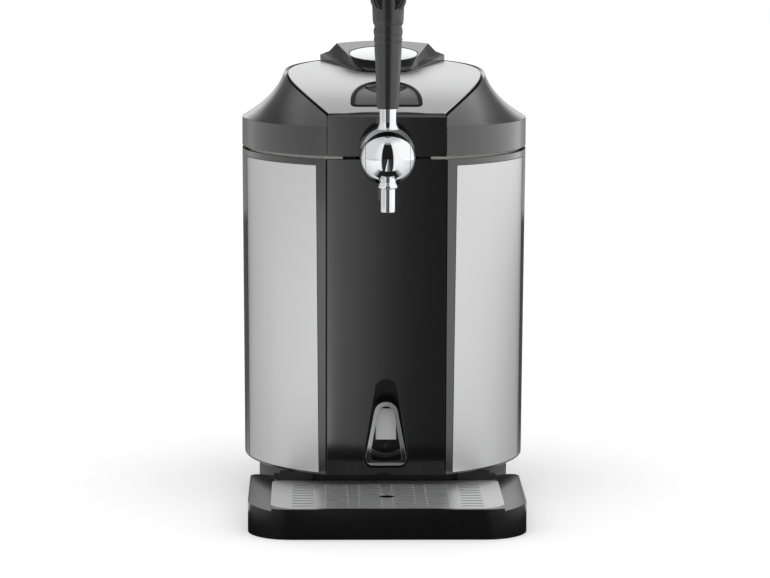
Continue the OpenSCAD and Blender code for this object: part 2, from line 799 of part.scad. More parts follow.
module lid_shoulder() {
    ring = 2 * (shoulder_rise + 1);
    points = [for (i = [0:shoulder_turns]) each concat(
        [for (k = [0:shoulder_rise]) shoulder_point(turn_of(i), k / shoulder_rise, 0)],
        [for (k = [shoulder_rise:-1:0]) shoulder_point(turn_of(i), k / shoulder_rise, shoulder_t)])];
    walls = [for (i = [0:shoulder_turns - 1]) each [for (k = [0:ring - 1])
        let (a = i * ring + k, b = i * ring + (k + 1) % ring)
        each [[a, a + ring, b], [b, a + ring, b + ring]]]];
    ends = concat([[for (k = [0:ring - 1]) k]],
        [[for (k = [ring - 1:-1:0]) shoulder_turns * ring + k]]);
    color(black) placed() polyhedron(points, concat(walls, ends), 8);
}

module lid_fascia() {
    crown_r = 519;
    mitre = 160 * [sin(facet_edge), -cos(facet_edge)];
    color(black) placed() difference() {
        intersection() {
            translate([-facet_half, -facet_y, lid_z]) cube([2 * facet_half, fascia_t, 60]);
            translate([0, -0.3, lid_z]) linear_extrude(60)
                polygon([[0, 0], mitre, [-mitre[0], mitre[1]]]);
            translate([0, -facet_y - 5, 380.6 - crown_r]) rotate([-90, 0, 0])
                cylinder(r = crown_r, h = 12, $fn = 240);
            top_slab(-0.5, 60);
        }
        shank_slot(shank_r + 0.8, -140, -110);
        translate([-shank_r - 0.8, -140, lid_z - 2]) cube([2 * shank_r + 1.6, 30, ball_z - lid_z + 2]);
    }
}

module button_plan(grow) {
    at = -25.2;
    polygon(mirrored(concat(
        arc([button_w - 6 + grow, -31 + 5 - grow], 5, -90, 0, 6),
        [for (a = [8:8:90]) [(button_w - 1 + grow) * cos(a), at + (button_len + grow) * sin(a)]])));
}

module lid_panel() {
    color(steel) placed() difference() {
        intersection() {
            top_slab(0, top_t);
            top_prism(shoulder_t + 0.5);
            translate([-120, -124, 300]) cube([240, 240, 200]);
        }
        front_of_top();
        at_button() translate([0, 0, -20]) linear_extrude(40) button_plan(3);
        at_cap() translate([0, 0, -60]) cylinder(r = 20, h = 80);
    }
}

module lid_frame() {
    color(satin_black) placed() difference() {
        intersection() {
            top_slab(-top_t - 0.1, top_t + 2.6);
            top_prism(shoulder_t + 0.8);
            translate([-120, -facet_y + fascia_t + 0.2, 300]) cube([240, 240, 200]);
        }
        at_button() translate([0, 0, -20]) linear_extrude(40) button_plan(3.2);
        at_cap() translate([0, 0, -60]) cylinder(r = 20, h = 80);
    }
}

module lid_inner() {
    cup_r = 98;
    lip_r = 132;
    ceiling = 372;
    color("#dcdcdc") placed() difference() {
        rotate_extrude() polygon([
            [cup_r, lid_z], [lip_r - 3, lid_z], [lip_r - 3, seam_z - 0.6], [lip_r, seam_z - 0.6],
            [lip_r, lid_z], [body_r_top - shell_t - 0.3, lid_z],
            [body_r_top - shell_t - 0.3, lid_z + 2.4], [cup_r + 2.4, lid_z + 2.4],
            [cup_r + 2.4, ceiling + 2.4], [0, ceiling + 2.4], [0, ceiling], [cup_r, ceiling]]);
        translate([-80, -180, seam_z - 2]) cube([160, 180 - facet_y + fascia_t + 0.4, 60]);
        translate([-16, -140, seam_z - 2]) cube([32, 50, 20]);
        for (x = [-34, 34]) {
            translate([x - 7, -122, seam_z - 2]) cube([14, 21, 10]);
        }
        at_cap() translate([0, 0, -80]) cylinder(r = 17, h = 60);
    }
}

module lid_foam() {
    color("#e8d9a8") placed() difference() {
        translate([0, 0, lid_z + 2.7]) cylinder(r = 127, h = 20);
        translate([0, 0, lid_z]) cylinder(r = 101, h = 40);
        translate([-130, -140, lid_z]) cube([260, 100, 40]);
    }
}

module lid_seal() {
    color(dark_rubber) placed() difference() {
        translate([0, 0, seam_z - 0.7]) cylinder(r = 98.4, h = seam_gap + 0.7);
        translate([0, 0, seam_z - 5]) cylinder(r = 94, h = 20);
        translate([-16, -140, seam_z - 5]) cube([32, 60, 20]);
    }
}

// ---------------------------------------------------------------- crown and gas

// Half outlines of the crown from front to rear: along the steel top, and round the top plate
function crown_foot(i) = i <= 4
    ? [5.5 * i, 0.1 * i * i]
    : (i <= 12 ? bezier([22, 1.6], [42, 32], [62, 90], (i - 4) / 8)
        : let (a = 40.7 + (90 - 40.7) * (i - 12) / 6) [81.8 * cos(a), 36.7 + 81.8 * sin(a) * 0.945]);
function crown_plate(i) = i <= 4
    ? [0, cap_y] + (cap_r + 1.8) * [sin(17 * i), -cos(17 * i)]
    : (i <= 12 ? [33.5, 27] + (i - 4) / 8 * ([45.5, 86] - [33.5, 27])
        : [45.5 * (18 - i) / 6, 86 + 13 * (1 - pow((18 - i) / 6, 2))]);
function plate_z(y) = cap_z + (y - cap_y) * tan(cap_tilt);
function wing_lift(i) = i <= 6 ? 1.2 : (i <= 12 ? 1.2 + 3.8 * (i - 6) / 6 : 5);
function crown_ring(i, level, inset) =
    let (foot = crown_foot(i), plate = crown_plate(i),
        z_foot = top_z(foot[1]) + 0.2, z_belt = z_foot + wing_lift(i),
        mid = foot + 0.55 * (plate - foot),
        z_mid = z_belt + 0.32 * (plate_z(plate[1]) - z_belt),
        p = level == 0 ? concat(foot, z_foot) : level == 1 ? concat(foot, z_belt)
            : level == 2 ? concat(mid, z_mid) : concat(plate, plate_z(plate[1])),
        shrink = 1 - inset / 45)
    [p[0] * shrink, 55 + (p[1] - 55) * shrink, p[2] - (level == 0 ? 3 * inset : inset * 0.9)];

module crown_form(inset) {
    half = 18;
    ring = 2 * half;
    points = [for (level = [0:3]) each concat(
        [for (i = [0:half]) crown_ring(i, level, inset)],
        [for (i = [half - 1:-1:1]) let (p = crown_ring(i, level, inset)) [-p[0], p[1], p[2]]])];
    walls = [for (level = [0:2], i = [0:ring - 1])
        let (a = level * ring + i, b = level * ring + (i + 1) % ring)
        each [[a, a + ring, b], [b, a + ring, b + ring]]];
    rungs = [for (i = [0:half - 1]) let (j = (ring - i) % ring, k = ring - i - 1)
        each [[i, i + 1, k], [i, k, j]]];
    lid = 3 * ring;
    caps = [for (r = rungs) if (r[0] != r[1] && r[1] != r[2] && r[0] != r[2]) r];
    polyhedron(points, concat(walls, caps,
        [for (r = caps) [lid + r[0], lid + r[2], lid + r[1]]]), 8);
}

module crown() {
    color(satin_black) placed() difference() {
        crown_form(0);
        crown_form(crown_t);
        at_cap() translate([0, 0, -7]) cylinder(r = cap_r + 0.6, h = 30);
        at_cap() translate([0, 0, -60]) cylinder(r = 31, h = 80);
    }
}

gas_port = -85;

module gas_well() {
    color(satin_black) placed() at_cap() difference() {
        union() {
            translate([0, 0, -9.4]) cylinder(r = 30.6, h = 2.2);
            translate([0, 0, -95]) cylinder(r = 16.4, h = 86);
        }
        translate([0, 0, -93]) cylinder(r = 13.5, h = 100);
        translate([0, 0, -8.6]) cylinder(r = 25.3, h = 3);
        translate([0, 0, gas_port]) rotate([0, 90, 0]) cylinder(r = 3.05, h = 20, $fn = 32);
    }
}

module gas_cap() {
    color(chrome) placed() at_cap() {
        rotate_extrude() polygon(concat(
            [[0, -3], [cap_r - 1.4, -3], [cap_r, -1.8], [cap_r, -0.3]],
            [for (i = [1:7]) let (x = cap_r * (1 - i / 7) * 0.985) [x, 2.4 * (1 - pow(x / cap_r, 2))]]));
        translate([0, 0, -8]) difference() {
            cylinder(r = 13.2, h = 6);
            translate([0, 0, -1]) cylinder(r = 10.8, h = 4.5);
        }
    }
}

module cap_collar() {
    color(steel) placed() at_cap() translate([0, 0, -8.4]) difference() {
        cylinder(r = 25.2, h = 4.8);
        translate([0, 0, -1]) cylinder(r = 13.26, h = 8);
    }
}

module gas_cartridge() {
    color(chrome) placed() at_cap() translate([0, 0, -92.5]) rotate_extrude() polygon(concat(
        [[0, 0], [4, 0], [4, 8]],
        [for (a = [0:15:90]) [4.6 + 6.2 * sin(a), 17 - 7 * cos(a)]],
        [for (a = [0:15:90]) [10.7 * cos(a), 78 + 9.4 * sin(a)]]));
}

module gas_regulator() {
    color("#b9a169") placed() at_cap() {
        translate([27, 0, -89]) difference() {
            cylinder(r = 9.5, h = 31);
            translate([0, 0, -1]) cylinder(r = 2.5, h = 12, $fn = 32);
        }
        translate([13.7, 0, gas_port]) rotate([0, 90, 0]) cylinder(r = 3, h = 6, $fn = 32);
    }
}

// ---------------------------------------------------------------- release button

module button_bezel() {
    color(black) placed() intersection() {
        at_button() translate([0, 0, -20]) linear_extrude(40) difference() {
            button_plan(2.8);
            button_plan(0.4);
        }
        top_slab(0.9, 7);
    }
}

module release_button() {
    color(satin_black) placed() {
        difference() {
            intersection() {
                at_button() translate([0, 0, -20]) linear_extrude(40) button_plan(0);
                top_slab(0.2, 5);
            }
            // Dished grip for the fingertip
            translate([0, -74, top_z(-74) + 44]) sphere(r = 47);
        }
        at_button() translate([0, 0, -14]) cylinder(r = 5, h = 12, $fn = 32);
    }
}

module button_spring() {
    color(steel) placed() at_button() translate([0, 0, -21.1]) difference() {
        cylinder(r = 8, h = 12.3);
        translate([0, 0, -1]) cylinder(r = 5.6, h = 20);
    }
}

module latch_slide() {
    z_bar = lid_z + 13;
    color(satin_black) placed() {
        translate([-42, -118, z_bar]) cube([84, 4, 8]);
        for (x = [-34, 34]) {
            translate([x - 5, -118, seam_z - 6]) cube([10, 4, z_bar - seam_z + 7]);
            translate([x - 5, -118, seam_z - 6]) cube([10, 6.4, 3]);
        }
    }
}

// ---------------------------------------------------------------- drip tray

grille_low = [-107.5, -231.4];
grille_high = [107.5, -98.4];

module tray_outline(inset, h) {
    linear_extrude(h) polygon(rounded(
        [-tray_w / 2 + inset, -tray_front + inset], [tray_w / 2 - inset, -72 - inset],
        40 - inset, 14));
}

module drip_tray() {
    rim_in = 20;
    floor_z = 3;
    color(black) placed() difference() {
        union() {
            tray_outline(0, tray_h);
            translate([-100, -101, 0]) cube([200, 4.4, 36]);
        }
        // Basin and the seat of the grille
        translate([0, 0, floor_z]) linear_extrude(40) polygon(rounded(
            [grille_low[0] + 2.5, grille_low[1] + 2], [grille_high[0] - 2.5, -101], 22, 8));
        translate([0, 0, tray_h - 2.6]) linear_extrude(10) polygon(rounded(
            [grille_low[0] - 0.4, grille_low[1] - 0.4], [grille_high[0] + 0.4, -101], 24, 6));
        // Sloping side rims
        for (side = [-1, 1]) {
            translate([0, -72, 0]) rotate([90, 0, 0]) linear_extrude(159.8) polygon([
                [side * (tray_w / 2 - 1.6), tray_h + 1], [side * (tray_w / 2 - 1.6), tray_h],
                [side * (grille_high[0] - 1), tray_h - 2.4], [side * (grille_high[0] - 1), tray_h + 1]]);
        }
        // Room for the pedestal behind the tray
        translate([0, 0, -1]) cylinder(r = 122.3, h = 60);
        translate([-97, -96.6, -1]) cube([194, 40, 60]);
        // Hollow under the side rims
        for (side = [-1, 1]) {
            translate([side * (tray_w / 2 - rim_in / 2 - 1.4) - 6.5, -192, -1]) cube([13, 92, 22]);
        }
    }
}

module drip_grille() {
    pitch_x = 31.2;
    pitch_y = 11.43;
    slot_len = 22;
    slot_w = 3.2;
    top = tray_h - 1.2;
    color(steel) placed() difference() {
        union() {
            translate([0, 0, top - 1.4]) linear_extrude(1.4)
                polygon(rounded(grille_low, [grille_high[0], -101.4], 23.6, 6));
            translate([0, 0, top - 6.6]) difference() {
                linear_extrude(5.4) polygon(rounded(
                    grille_low + [4, 4], [grille_high[0] - 4, -105.4], 20, 6));
                translate([0, 0, -1]) linear_extrude(6) polygon(rounded(
                    grille_low + [5.2, 5.2], [grille_high[0] - 5.2, -106.6], 19, 5));
            }
        }
        for (row = [0:slot_rows - 1], column = [0:slot_columns - 1]) {
            translate([(column - (slot_columns - 1) / 2) * pitch_x, -215.5 + row * pitch_y, top - 3]) {
                translate([-(slot_len - slot_w) / 2, -slot_w / 2, 0])
                    cube([slot_len - slot_w, slot_w, 6]);
                for (end = [-1, 1]) {
                    translate([end * (slot_len - slot_w) / 2, 0, 0])
                        cylinder(r = slot_w / 2, h = 6, $fn = 16);
                }
            }
        }
        translate([0, -171, top - 3]) cylinder(r = 8.5, h = 6);
    }
}

casing();
side_panel_left();
side_panel_right();
front_fascia();
niche_cup();
opener_frame();
opener_plate();
opener_screws();
pedestal();
base_plate();
feet();
keg_liner();
insulation();
body_rim();
cold_block();
peltier_module();
heat_sink();
fan_frame();
fan_rotor();
rear_cover();
cover_screws();
control_board();
power_inlet();
switch_frame();
power_switch();
hinge_base();
hinge_pin();
hinge_arm();
tap_body();
tap_pivot_pin();
tap_collar();
tap_shank();
shank_elbow();
spout();
valve_piston();
tap_lever();
tap_handle();
handle_medallion();
beer_line();
keg_coupler();
lid_collar();
lid_shoulder();
lid_fascia();
lid_panel();
lid_frame();
lid_inner();
lid_foam();
lid_seal();
crown();
gas_well();
gas_cap();
cap_collar();
gas_cartridge();
gas_regulator();
button_bezel();
release_button();
button_spring();
latch_slide();
drip_tray();
drip_grille();
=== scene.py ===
"""Looks of a countertop draught-beer dispenser for small party kegs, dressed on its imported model.

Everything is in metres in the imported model's frame: front is -Y, up is +Z, and the table is at
z = 0. Each sub-assembly is a class that copies the solids of its nodes, rounds and reshapes them
with Blender's own operators and modifiers, and gives them a finish. main() builds them in order.
"""

import json
import logging
import math
from dataclasses import dataclass
from enum import Enum
from typing import Callable, ClassVar, Optional, Sequence, Union

import bpy
from mathutils import Matrix, Vector

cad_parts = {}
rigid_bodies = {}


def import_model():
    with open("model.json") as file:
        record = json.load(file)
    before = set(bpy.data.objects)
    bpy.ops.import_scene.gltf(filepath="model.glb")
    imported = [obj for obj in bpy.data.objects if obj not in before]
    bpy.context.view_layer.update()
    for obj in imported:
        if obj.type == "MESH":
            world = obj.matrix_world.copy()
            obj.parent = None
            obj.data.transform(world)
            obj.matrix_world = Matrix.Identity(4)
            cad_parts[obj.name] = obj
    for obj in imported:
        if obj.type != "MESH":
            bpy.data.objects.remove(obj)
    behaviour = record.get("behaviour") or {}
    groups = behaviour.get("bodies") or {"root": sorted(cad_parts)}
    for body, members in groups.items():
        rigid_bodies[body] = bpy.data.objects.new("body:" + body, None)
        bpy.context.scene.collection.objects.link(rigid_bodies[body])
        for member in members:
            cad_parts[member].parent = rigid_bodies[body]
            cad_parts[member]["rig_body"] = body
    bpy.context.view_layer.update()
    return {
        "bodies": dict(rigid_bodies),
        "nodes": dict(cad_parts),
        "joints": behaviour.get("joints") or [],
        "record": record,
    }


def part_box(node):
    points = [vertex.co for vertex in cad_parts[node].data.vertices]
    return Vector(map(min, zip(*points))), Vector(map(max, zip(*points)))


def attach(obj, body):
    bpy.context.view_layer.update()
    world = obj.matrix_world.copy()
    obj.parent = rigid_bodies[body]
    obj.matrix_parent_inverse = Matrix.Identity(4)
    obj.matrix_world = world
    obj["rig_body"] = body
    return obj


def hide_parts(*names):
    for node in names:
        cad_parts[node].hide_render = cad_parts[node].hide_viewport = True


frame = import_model()
log = logging.getLogger("dispenser")

MM = 0.001
WHITE = (1.0, 1.0, 1.0, 1.0)
BLACK = (0.0, 0.0, 0.0, 1.0)
Triple = tuple[float, float, float]
Stops = Sequence[tuple[float, float]]
Value = Union[float, "Wire"]


# ---------------------------------------------------------------- shader graphs

class Wire:
    """A shader value that Python arithmetic acts on, one Math node for each operator."""

    def __init__(self, graph: "Graph", socket: bpy.types.NodeSocket) -> None:
        """Wraps a socket.

        Args:
            graph: the graph that the socket's node is in.
            socket: an output socket that carries a number.
        """
        self.graph = graph
        self.socket = socket

    def __add__(self, other: Value) -> "Wire":
        """Sum of two values."""
        return self.graph.maths("ADD", self, other)

    def __radd__(self, other: float) -> "Wire":
        """Sum with a number on the left."""
        return self.graph.maths("ADD", other, self)

    def __sub__(self, other: Value) -> "Wire":
        """Difference of two values."""
        return self.graph.maths("SUBTRACT", self, other)

    def __rsub__(self, other: float) -> "Wire":
        """Difference with a number on the left, such as 1 - mask."""
        return self.graph.maths("SUBTRACT", other, self)

    def __mul__(self, other: Value) -> "Wire":
        """Product of two values."""
        return self.graph.maths("MULTIPLY", self, other)

    def __rmul__(self, other: float) -> "Wire":
        """Product with a number on the left."""
        return self.graph.maths("MULTIPLY", other, self)

    def __truediv__(self, other: Value) -> "Wire":
        """Quotient of two values."""
        return self.graph.maths("DIVIDE", self, other)

    def __rtruediv__(self, other: float) -> "Wire":
        """Quotient with a number on the left."""
        return self.graph.maths("DIVIDE", other, self)


class Graph:
    """The node tree of one material or world, written as expressions."""

    def __init__(self, tree: bpy.types.NodeTree) -> None:
        """Starts from an empty tree.

        Args:
            tree: the node tree, whose nodes are removed.
        """
        self.tree = tree
        tree.nodes.clear()

    def node(self, kind: str, settings: Optional[dict] = None, **values: object) -> bpy.types.Node:
        """Adds a node, sets its settings, then its sockets.

        Args:
            kind: the node's type, such as "ShaderNodeTexNoise".
            settings: properties to set before the sockets, with "stops" for a ramp.
            **values: a number, colour, Wire or socket for each named or numbered ("_0") input.

        Returns:
            The new node.
        """
        made = self.tree.nodes.new(kind)
        for name, setting in (settings or {}).items():
            if name == "stops":
                self._stops(made, setting)
            else:
                setattr(made, name, setting)
        for name, value in values.items():
            key = int(name[1:]) if name[1:].isdigit() else name.replace("_", " ")
            self.plug(made.inputs[key], value)
        return made

    @staticmethod
    def _stops(ramp: bpy.types.Node, stops: Stops) -> None:
        """Gives a colour ramp its grey stops.

        Args:
            ramp: the Color Ramp node.
            stops: (place, level) pairs, each from 0 to 1, in order of place.
        """
        elements = ramp.color_ramp.elements
        while len(elements) > 1:
            elements.remove(elements[-1])
        for index, (place, level) in enumerate(stops):
            element = elements[0] if index == 0 else elements.new(place)
            element.position = place
            element.color = (level, level, level, 1.0)

    def plug(self, target: bpy.types.NodeSocket, value: object) -> None:
        """Links a wire or socket to an input, or sets the input's own value.

        Args:
            target: the input.
            value: a Wire, an output socket, a number or a colour.
        """
        if isinstance(value, Wire):
            self.tree.links.new(value.socket, target)
        elif isinstance(value, bpy.types.NodeSocket):
            self.tree.links.new(value, target)
        else:
            target.default_value = value

    def maths(self, operation: str, *values: Value) -> Wire:
        """One Math node.

        Args:
            operation: the Math node's operation.
            *values: its inputs, in order.

        Returns:
            The result.
        """
        made = self.node("ShaderNodeMath", {"operation": operation})
        for index, value in enumerate(values):
            self.plug(made.inputs[index], value)
        return Wire(self, made.outputs[0])

    def place(self) -> bpy.types.NodeSocket:
        """Object coordinates, which on every piece here are the model's own metres."""
        return self.node("ShaderNodeTexCoord").outputs["Object"]

    def axes(self, vector: bpy.types.NodeSocket) -> tuple[Wire, Wire, Wire]:
        """The three parts of a vector."""
        parts = self.node("ShaderNodeSeparateXYZ", _0=vector)
        return tuple(Wire(self, output) for output in parts.outputs)

    def noise(self, cycles: Union[float, Triple], detail: float = 3.0,
              rough: float = 0.55) -> Wire:
        """Noise over the object's own coordinates.

        Args:
            cycles: how many to a metre, the same along X, Y and Z or one number for each.
            detail: octaves.
            rough: how much the finer octaves count.

        Returns:
            The noise, from about 0 to 1.
        """
        scale = cycles if isinstance(cycles, tuple) else (cycles, cycles, cycles)
        stretched = self.node("ShaderNodeVectorMath", {"operation": "MULTIPLY"},
                              _0=self.place(), _1=scale)
        made = self.node("ShaderNodeTexNoise", Vector=stretched.outputs[0], Scale=1.0,
                         Detail=detail, Roughness=rough)
        return Wire(self, made.outputs["Fac"])

    def ramp(self, value: Value, stops: Stops) -> Wire:
        """Maps a value through grey stops."""
        made = self.node("ShaderNodeValToRGB", {"stops": stops}, Fac=value)
        return Wire(self, made.outputs["Color"])

    def tint(self, low: Triple, high: Triple, share: Value) -> bpy.types.NodeSocket:
        """A colour between two.

        Args:
            low: the colour where share is 0.
            high: the colour where share is 1.
            share: how far it is from the one to the other.

        Returns:
            The colour's socket.
        """
        made = self.node("ShaderNodeMix", {"data_type": "RGBA"}, Factor=share)
        ends = [socket for socket in made.inputs if socket.type == "RGBA"]
        self.plug(ends[0], (*low, 1.0))
        self.plug(ends[1], (*high, 1.0))
        return next(socket for socket in made.outputs if socket.type == "RGBA")

    def bump(self, height: Wire, depth: float) -> bpy.types.NodeSocket:
        """A normal that follows a height, with depth in metres."""
        made = self.node("ShaderNodeBump", Height=height, Distance=depth, Strength=1.0)
        return made.outputs["Normal"]


# ---------------------------------------------------------------- finishes

class Brush(Enum):
    """Direction in which a sheet was brushed, as noise cycles per metre along X, Y and Z."""

    SIDEWAYS = (9.0, 900.0, 900.0)
    ROUND = (14.0, 14.0, 1500.0)
    TURNED = (500.0, 500.0, 500.0)


@dataclass(frozen=True)
class Finish:
    """What all finishes share.

    Attributes:
        name: the finish's name.
        colour: its main colour, linear.
        roughness: how rough its surface is.
    """

    name: str
    colour: Triple
    roughness: float

    def material(self) -> bpy.types.Material:
        """Makes the material, or returns the one made before.

        Returns:
            The material, with its nodes in place.
        """
        title = f"{self.name}_finish"
        made = bpy.data.materials.get(title)
        if made is None:
            made = bpy.data.materials.new(title)
            made.use_nodes = True
            graph = Graph(made.node_tree)
            shader = graph.node("ShaderNodeBsdfPrincipled")
            output = graph.node("ShaderNodeOutputMaterial")
            graph.plug(output.inputs["Surface"], shader.outputs[0])
            self.shade(graph, shader.inputs)
        return made

    def shade(self, graph: Graph, sockets: bpy.types.bpy_prop_collection) -> None:
        """Sets the shader's sockets; each kind of finish does this in its own way.

        Args:
            graph: the material's graph.
            sockets: the shader's inputs.
        """
        graph.plug(sockets["Base Color"], (*self.colour, 1.0))
        graph.plug(sockets["Roughness"], self.roughness)


@dataclass(frozen=True)
class Moulded(Finish):
    """Injection-moulded plastic, from glossy to finely spark-eroded.

    Attributes:
        grain: depth of its fine texture.
        grain_size: width of that texture.
        gloss: specular level.
        coat: weight of the clear skin over it.
        dust: how much a speck of dust lightens and roughens it.
    """

    grain: float = 0.000004
    grain_size: float = 0.0009
    gloss: float = 0.5
    coat: float = 0.0
    dust: float = 0.02

    CLOUD_CYCLES: ClassVar[Triple] = (14.0, 14.0, 9.0)
    CLOUD_TINT: ClassVar[float] = 0.5
    CLOUD_GAIN: ClassVar[float] = 1.3
    CLOUD_LIFT: ClassVar[float] = 0.003
    SPECK_CYCLES: ClassVar[float] = 1900.0
    SPECKS: ClassVar[Stops] = ((0.0, 0.0), (0.66, 0.0), (0.74, 1.0))
    LEAST_ROUGH: ClassVar[float] = 0.85
    ROUGH_SPAN: ClassVar[float] = 0.3
    COAT_ROUGH: ClassVar[float] = 0.5

    def shade(self, graph: Graph, sockets: bpy.types.bpy_prop_collection) -> None:
        """Even colour with faint flow clouds, and roughness that dust and handling vary.

        Args:
            graph: the material's graph.
            sockets: the shader's inputs.
        """
        clouds = graph.noise(self.CLOUD_CYCLES, detail=4.0)
        speck = graph.ramp(graph.noise(self.SPECK_CYCLES, detail=1.0), self.SPECKS)
        light = tuple(min(1.0, part * self.CLOUD_GAIN + self.CLOUD_LIFT) for part in self.colour)
        share = clouds * self.CLOUD_TINT + speck * self.dust
        graph.plug(sockets["Base Color"], graph.tint(self.colour, light, share))
        rough = (self.roughness * self.LEAST_ROUGH + clouds * self.roughness * self.ROUGH_SPAN
                 + speck * self.dust)
        graph.plug(sockets["Roughness"], rough)
        sockets["Specular IOR Level"].default_value = self.gloss
        sockets["Coat Weight"].default_value = self.coat
        sockets["Coat Roughness"].default_value = self.roughness * self.COAT_ROUGH
        height = graph.noise(1.0 / self.grain_size, detail=2.0, rough=0.6)
        graph.plug(sockets["Normal"], graph.bump(height, self.grain))


@dataclass(frozen=True)
class Brushed(Finish):
    """Brushed metal with fine parallel scratches, a few longer ones and faint handling marks.

    Attributes:
        brush: direction of the scratches.
        depth: their depth.
        contrast: how much darker than the colour they are at most.
        metal: how metallic the surface is.
    """

    brush: Brush = Brush.SIDEWAYS
    depth: float = 0.000012
    contrast: float = 0.1
    metal: float = 1.0

    COARSENESS: ClassVar[float] = 0.22
    FINE_TINT: ClassVar[float] = 0.6
    COARSE_TINT: ClassVar[float] = 0.5
    FINE_RELIEF: ClassVar[float] = 0.7
    COARSE_RELIEF: ClassVar[float] = 0.3
    SMUDGE_CYCLES: ClassVar[float] = 11.0
    POLISH: ClassVar[float] = 0.05
    SCRATCH_ROUGH: ClassVar[float] = 0.08
    SMUDGE_ROUGH: ClassVar[float] = 0.05

    def shade(self, graph: Graph, sockets: bpy.types.bpy_prop_collection) -> None:
        """Scratches vary colour, roughness and the normal along the brushing.

        Args:
            graph: the material's graph.
            sockets: the shader's inputs.
        """
        scratches = graph.noise(self.brush.value, detail=4.0, rough=0.7)
        wide = tuple(part * self.COARSENESS for part in self.brush.value)
        coarse = graph.noise(wide, detail=2.0)
        smudge = graph.noise(self.SMUDGE_CYCLES)
        dark = tuple(part * (1.0 - self.contrast) for part in self.colour)
        share = scratches * self.FINE_TINT + coarse * self.COARSE_TINT
        graph.plug(sockets["Base Color"], graph.tint(dark, self.colour, share))
        sockets["Metallic"].default_value = self.metal
        rough = (self.roughness - self.POLISH + scratches * self.SCRATCH_ROUGH
                 + smudge * self.SMUDGE_ROUGH)
        graph.plug(sockets["Roughness"], rough)
        relief = scratches * self.FINE_RELIEF + coarse * self.COARSE_RELIEF
        graph.plug(sockets["Normal"], graph.bump(relief, self.depth))


@dataclass(frozen=True)
class Plated(Finish):
    """Polished plate: chrome, zinc or bright brass, with faint waviness and finger marks.

    Attributes:
        wave: depth of the waviness.
    """

    wave: float = 0.000001

    SMUDGE_CYCLES: ClassVar[float] = 60.0
    SMUDGES: ClassVar[Stops] = ((0.45, 0.0), (0.8, 1.0))
    SMUDGE_DARK: ClassVar[float] = 0.96
    SMUDGE_ROUGH: ClassVar[float] = 0.035
    WAVE_CYCLES: ClassVar[float] = 900.0

    def shade(self, graph: Graph, sockets: bpy.types.bpy_prop_collection) -> None:
        """A mirror whose roughness rises a little in soft smudges.

        Args:
            graph: the material's graph.
            sockets: the shader's inputs.
        """
        smudge = graph.ramp(graph.noise(self.SMUDGE_CYCLES, detail=4.0), self.SMUDGES)
        dim = tuple(part * self.SMUDGE_DARK for part in self.colour)
        graph.plug(sockets["Base Color"], graph.tint(self.colour, dim, smudge))
        sockets["Metallic"].default_value = 1.0
        graph.plug(sockets["Roughness"], self.roughness + smudge * self.SMUDGE_ROUGH)
        ripple = graph.noise(self.WAVE_CYCLES, detail=1.0)
        graph.plug(sockets["Normal"], graph.bump(ripple, self.wave))


@dataclass(frozen=True)
class Grainy(Finish):
    """Foam, rubber, ceramic or board: a matt body with two colours of grain.

    Attributes:
        second: the grain's second colour.
        grain_size: the grain's width.
        depth: the grain's depth.
        cells: whether the grain is separate cells, not a soft noise.
    """

    second: Triple = (0.5, 0.5, 0.5)
    grain_size: float = 0.0012
    depth: float = 0.0001
    cells: bool = False

    CELL_GAIN: ClassVar[float] = 1.2
    POLISH: ClassVar[float] = 0.05
    ROUGH_SPAN: ClassVar[float] = 0.1

    def shade(self, graph: Graph, sockets: bpy.types.bpy_prop_collection) -> None:
        """Mixes the two colours by a cell or a noise pattern and raises it a little.

        Args:
            graph: the material's graph.
            sockets: the shader's inputs.
        """
        cycles = 1.0 / self.grain_size
        if self.cells:
            pattern = graph.node("ShaderNodeTexVoronoi", {"feature": "F1"},
                                 Vector=graph.place(), Scale=cycles)
            share = Wire(graph, pattern.outputs["Distance"]) * self.CELL_GAIN
        else:
            share = graph.noise(cycles)
        graph.plug(sockets["Base Color"], graph.tint(self.colour, self.second, share))
        graph.plug(sockets["Roughness"], self.roughness - self.POLISH + share * self.ROUGH_SPAN)
        graph.plug(sockets["Normal"], graph.bump(share, self.depth))


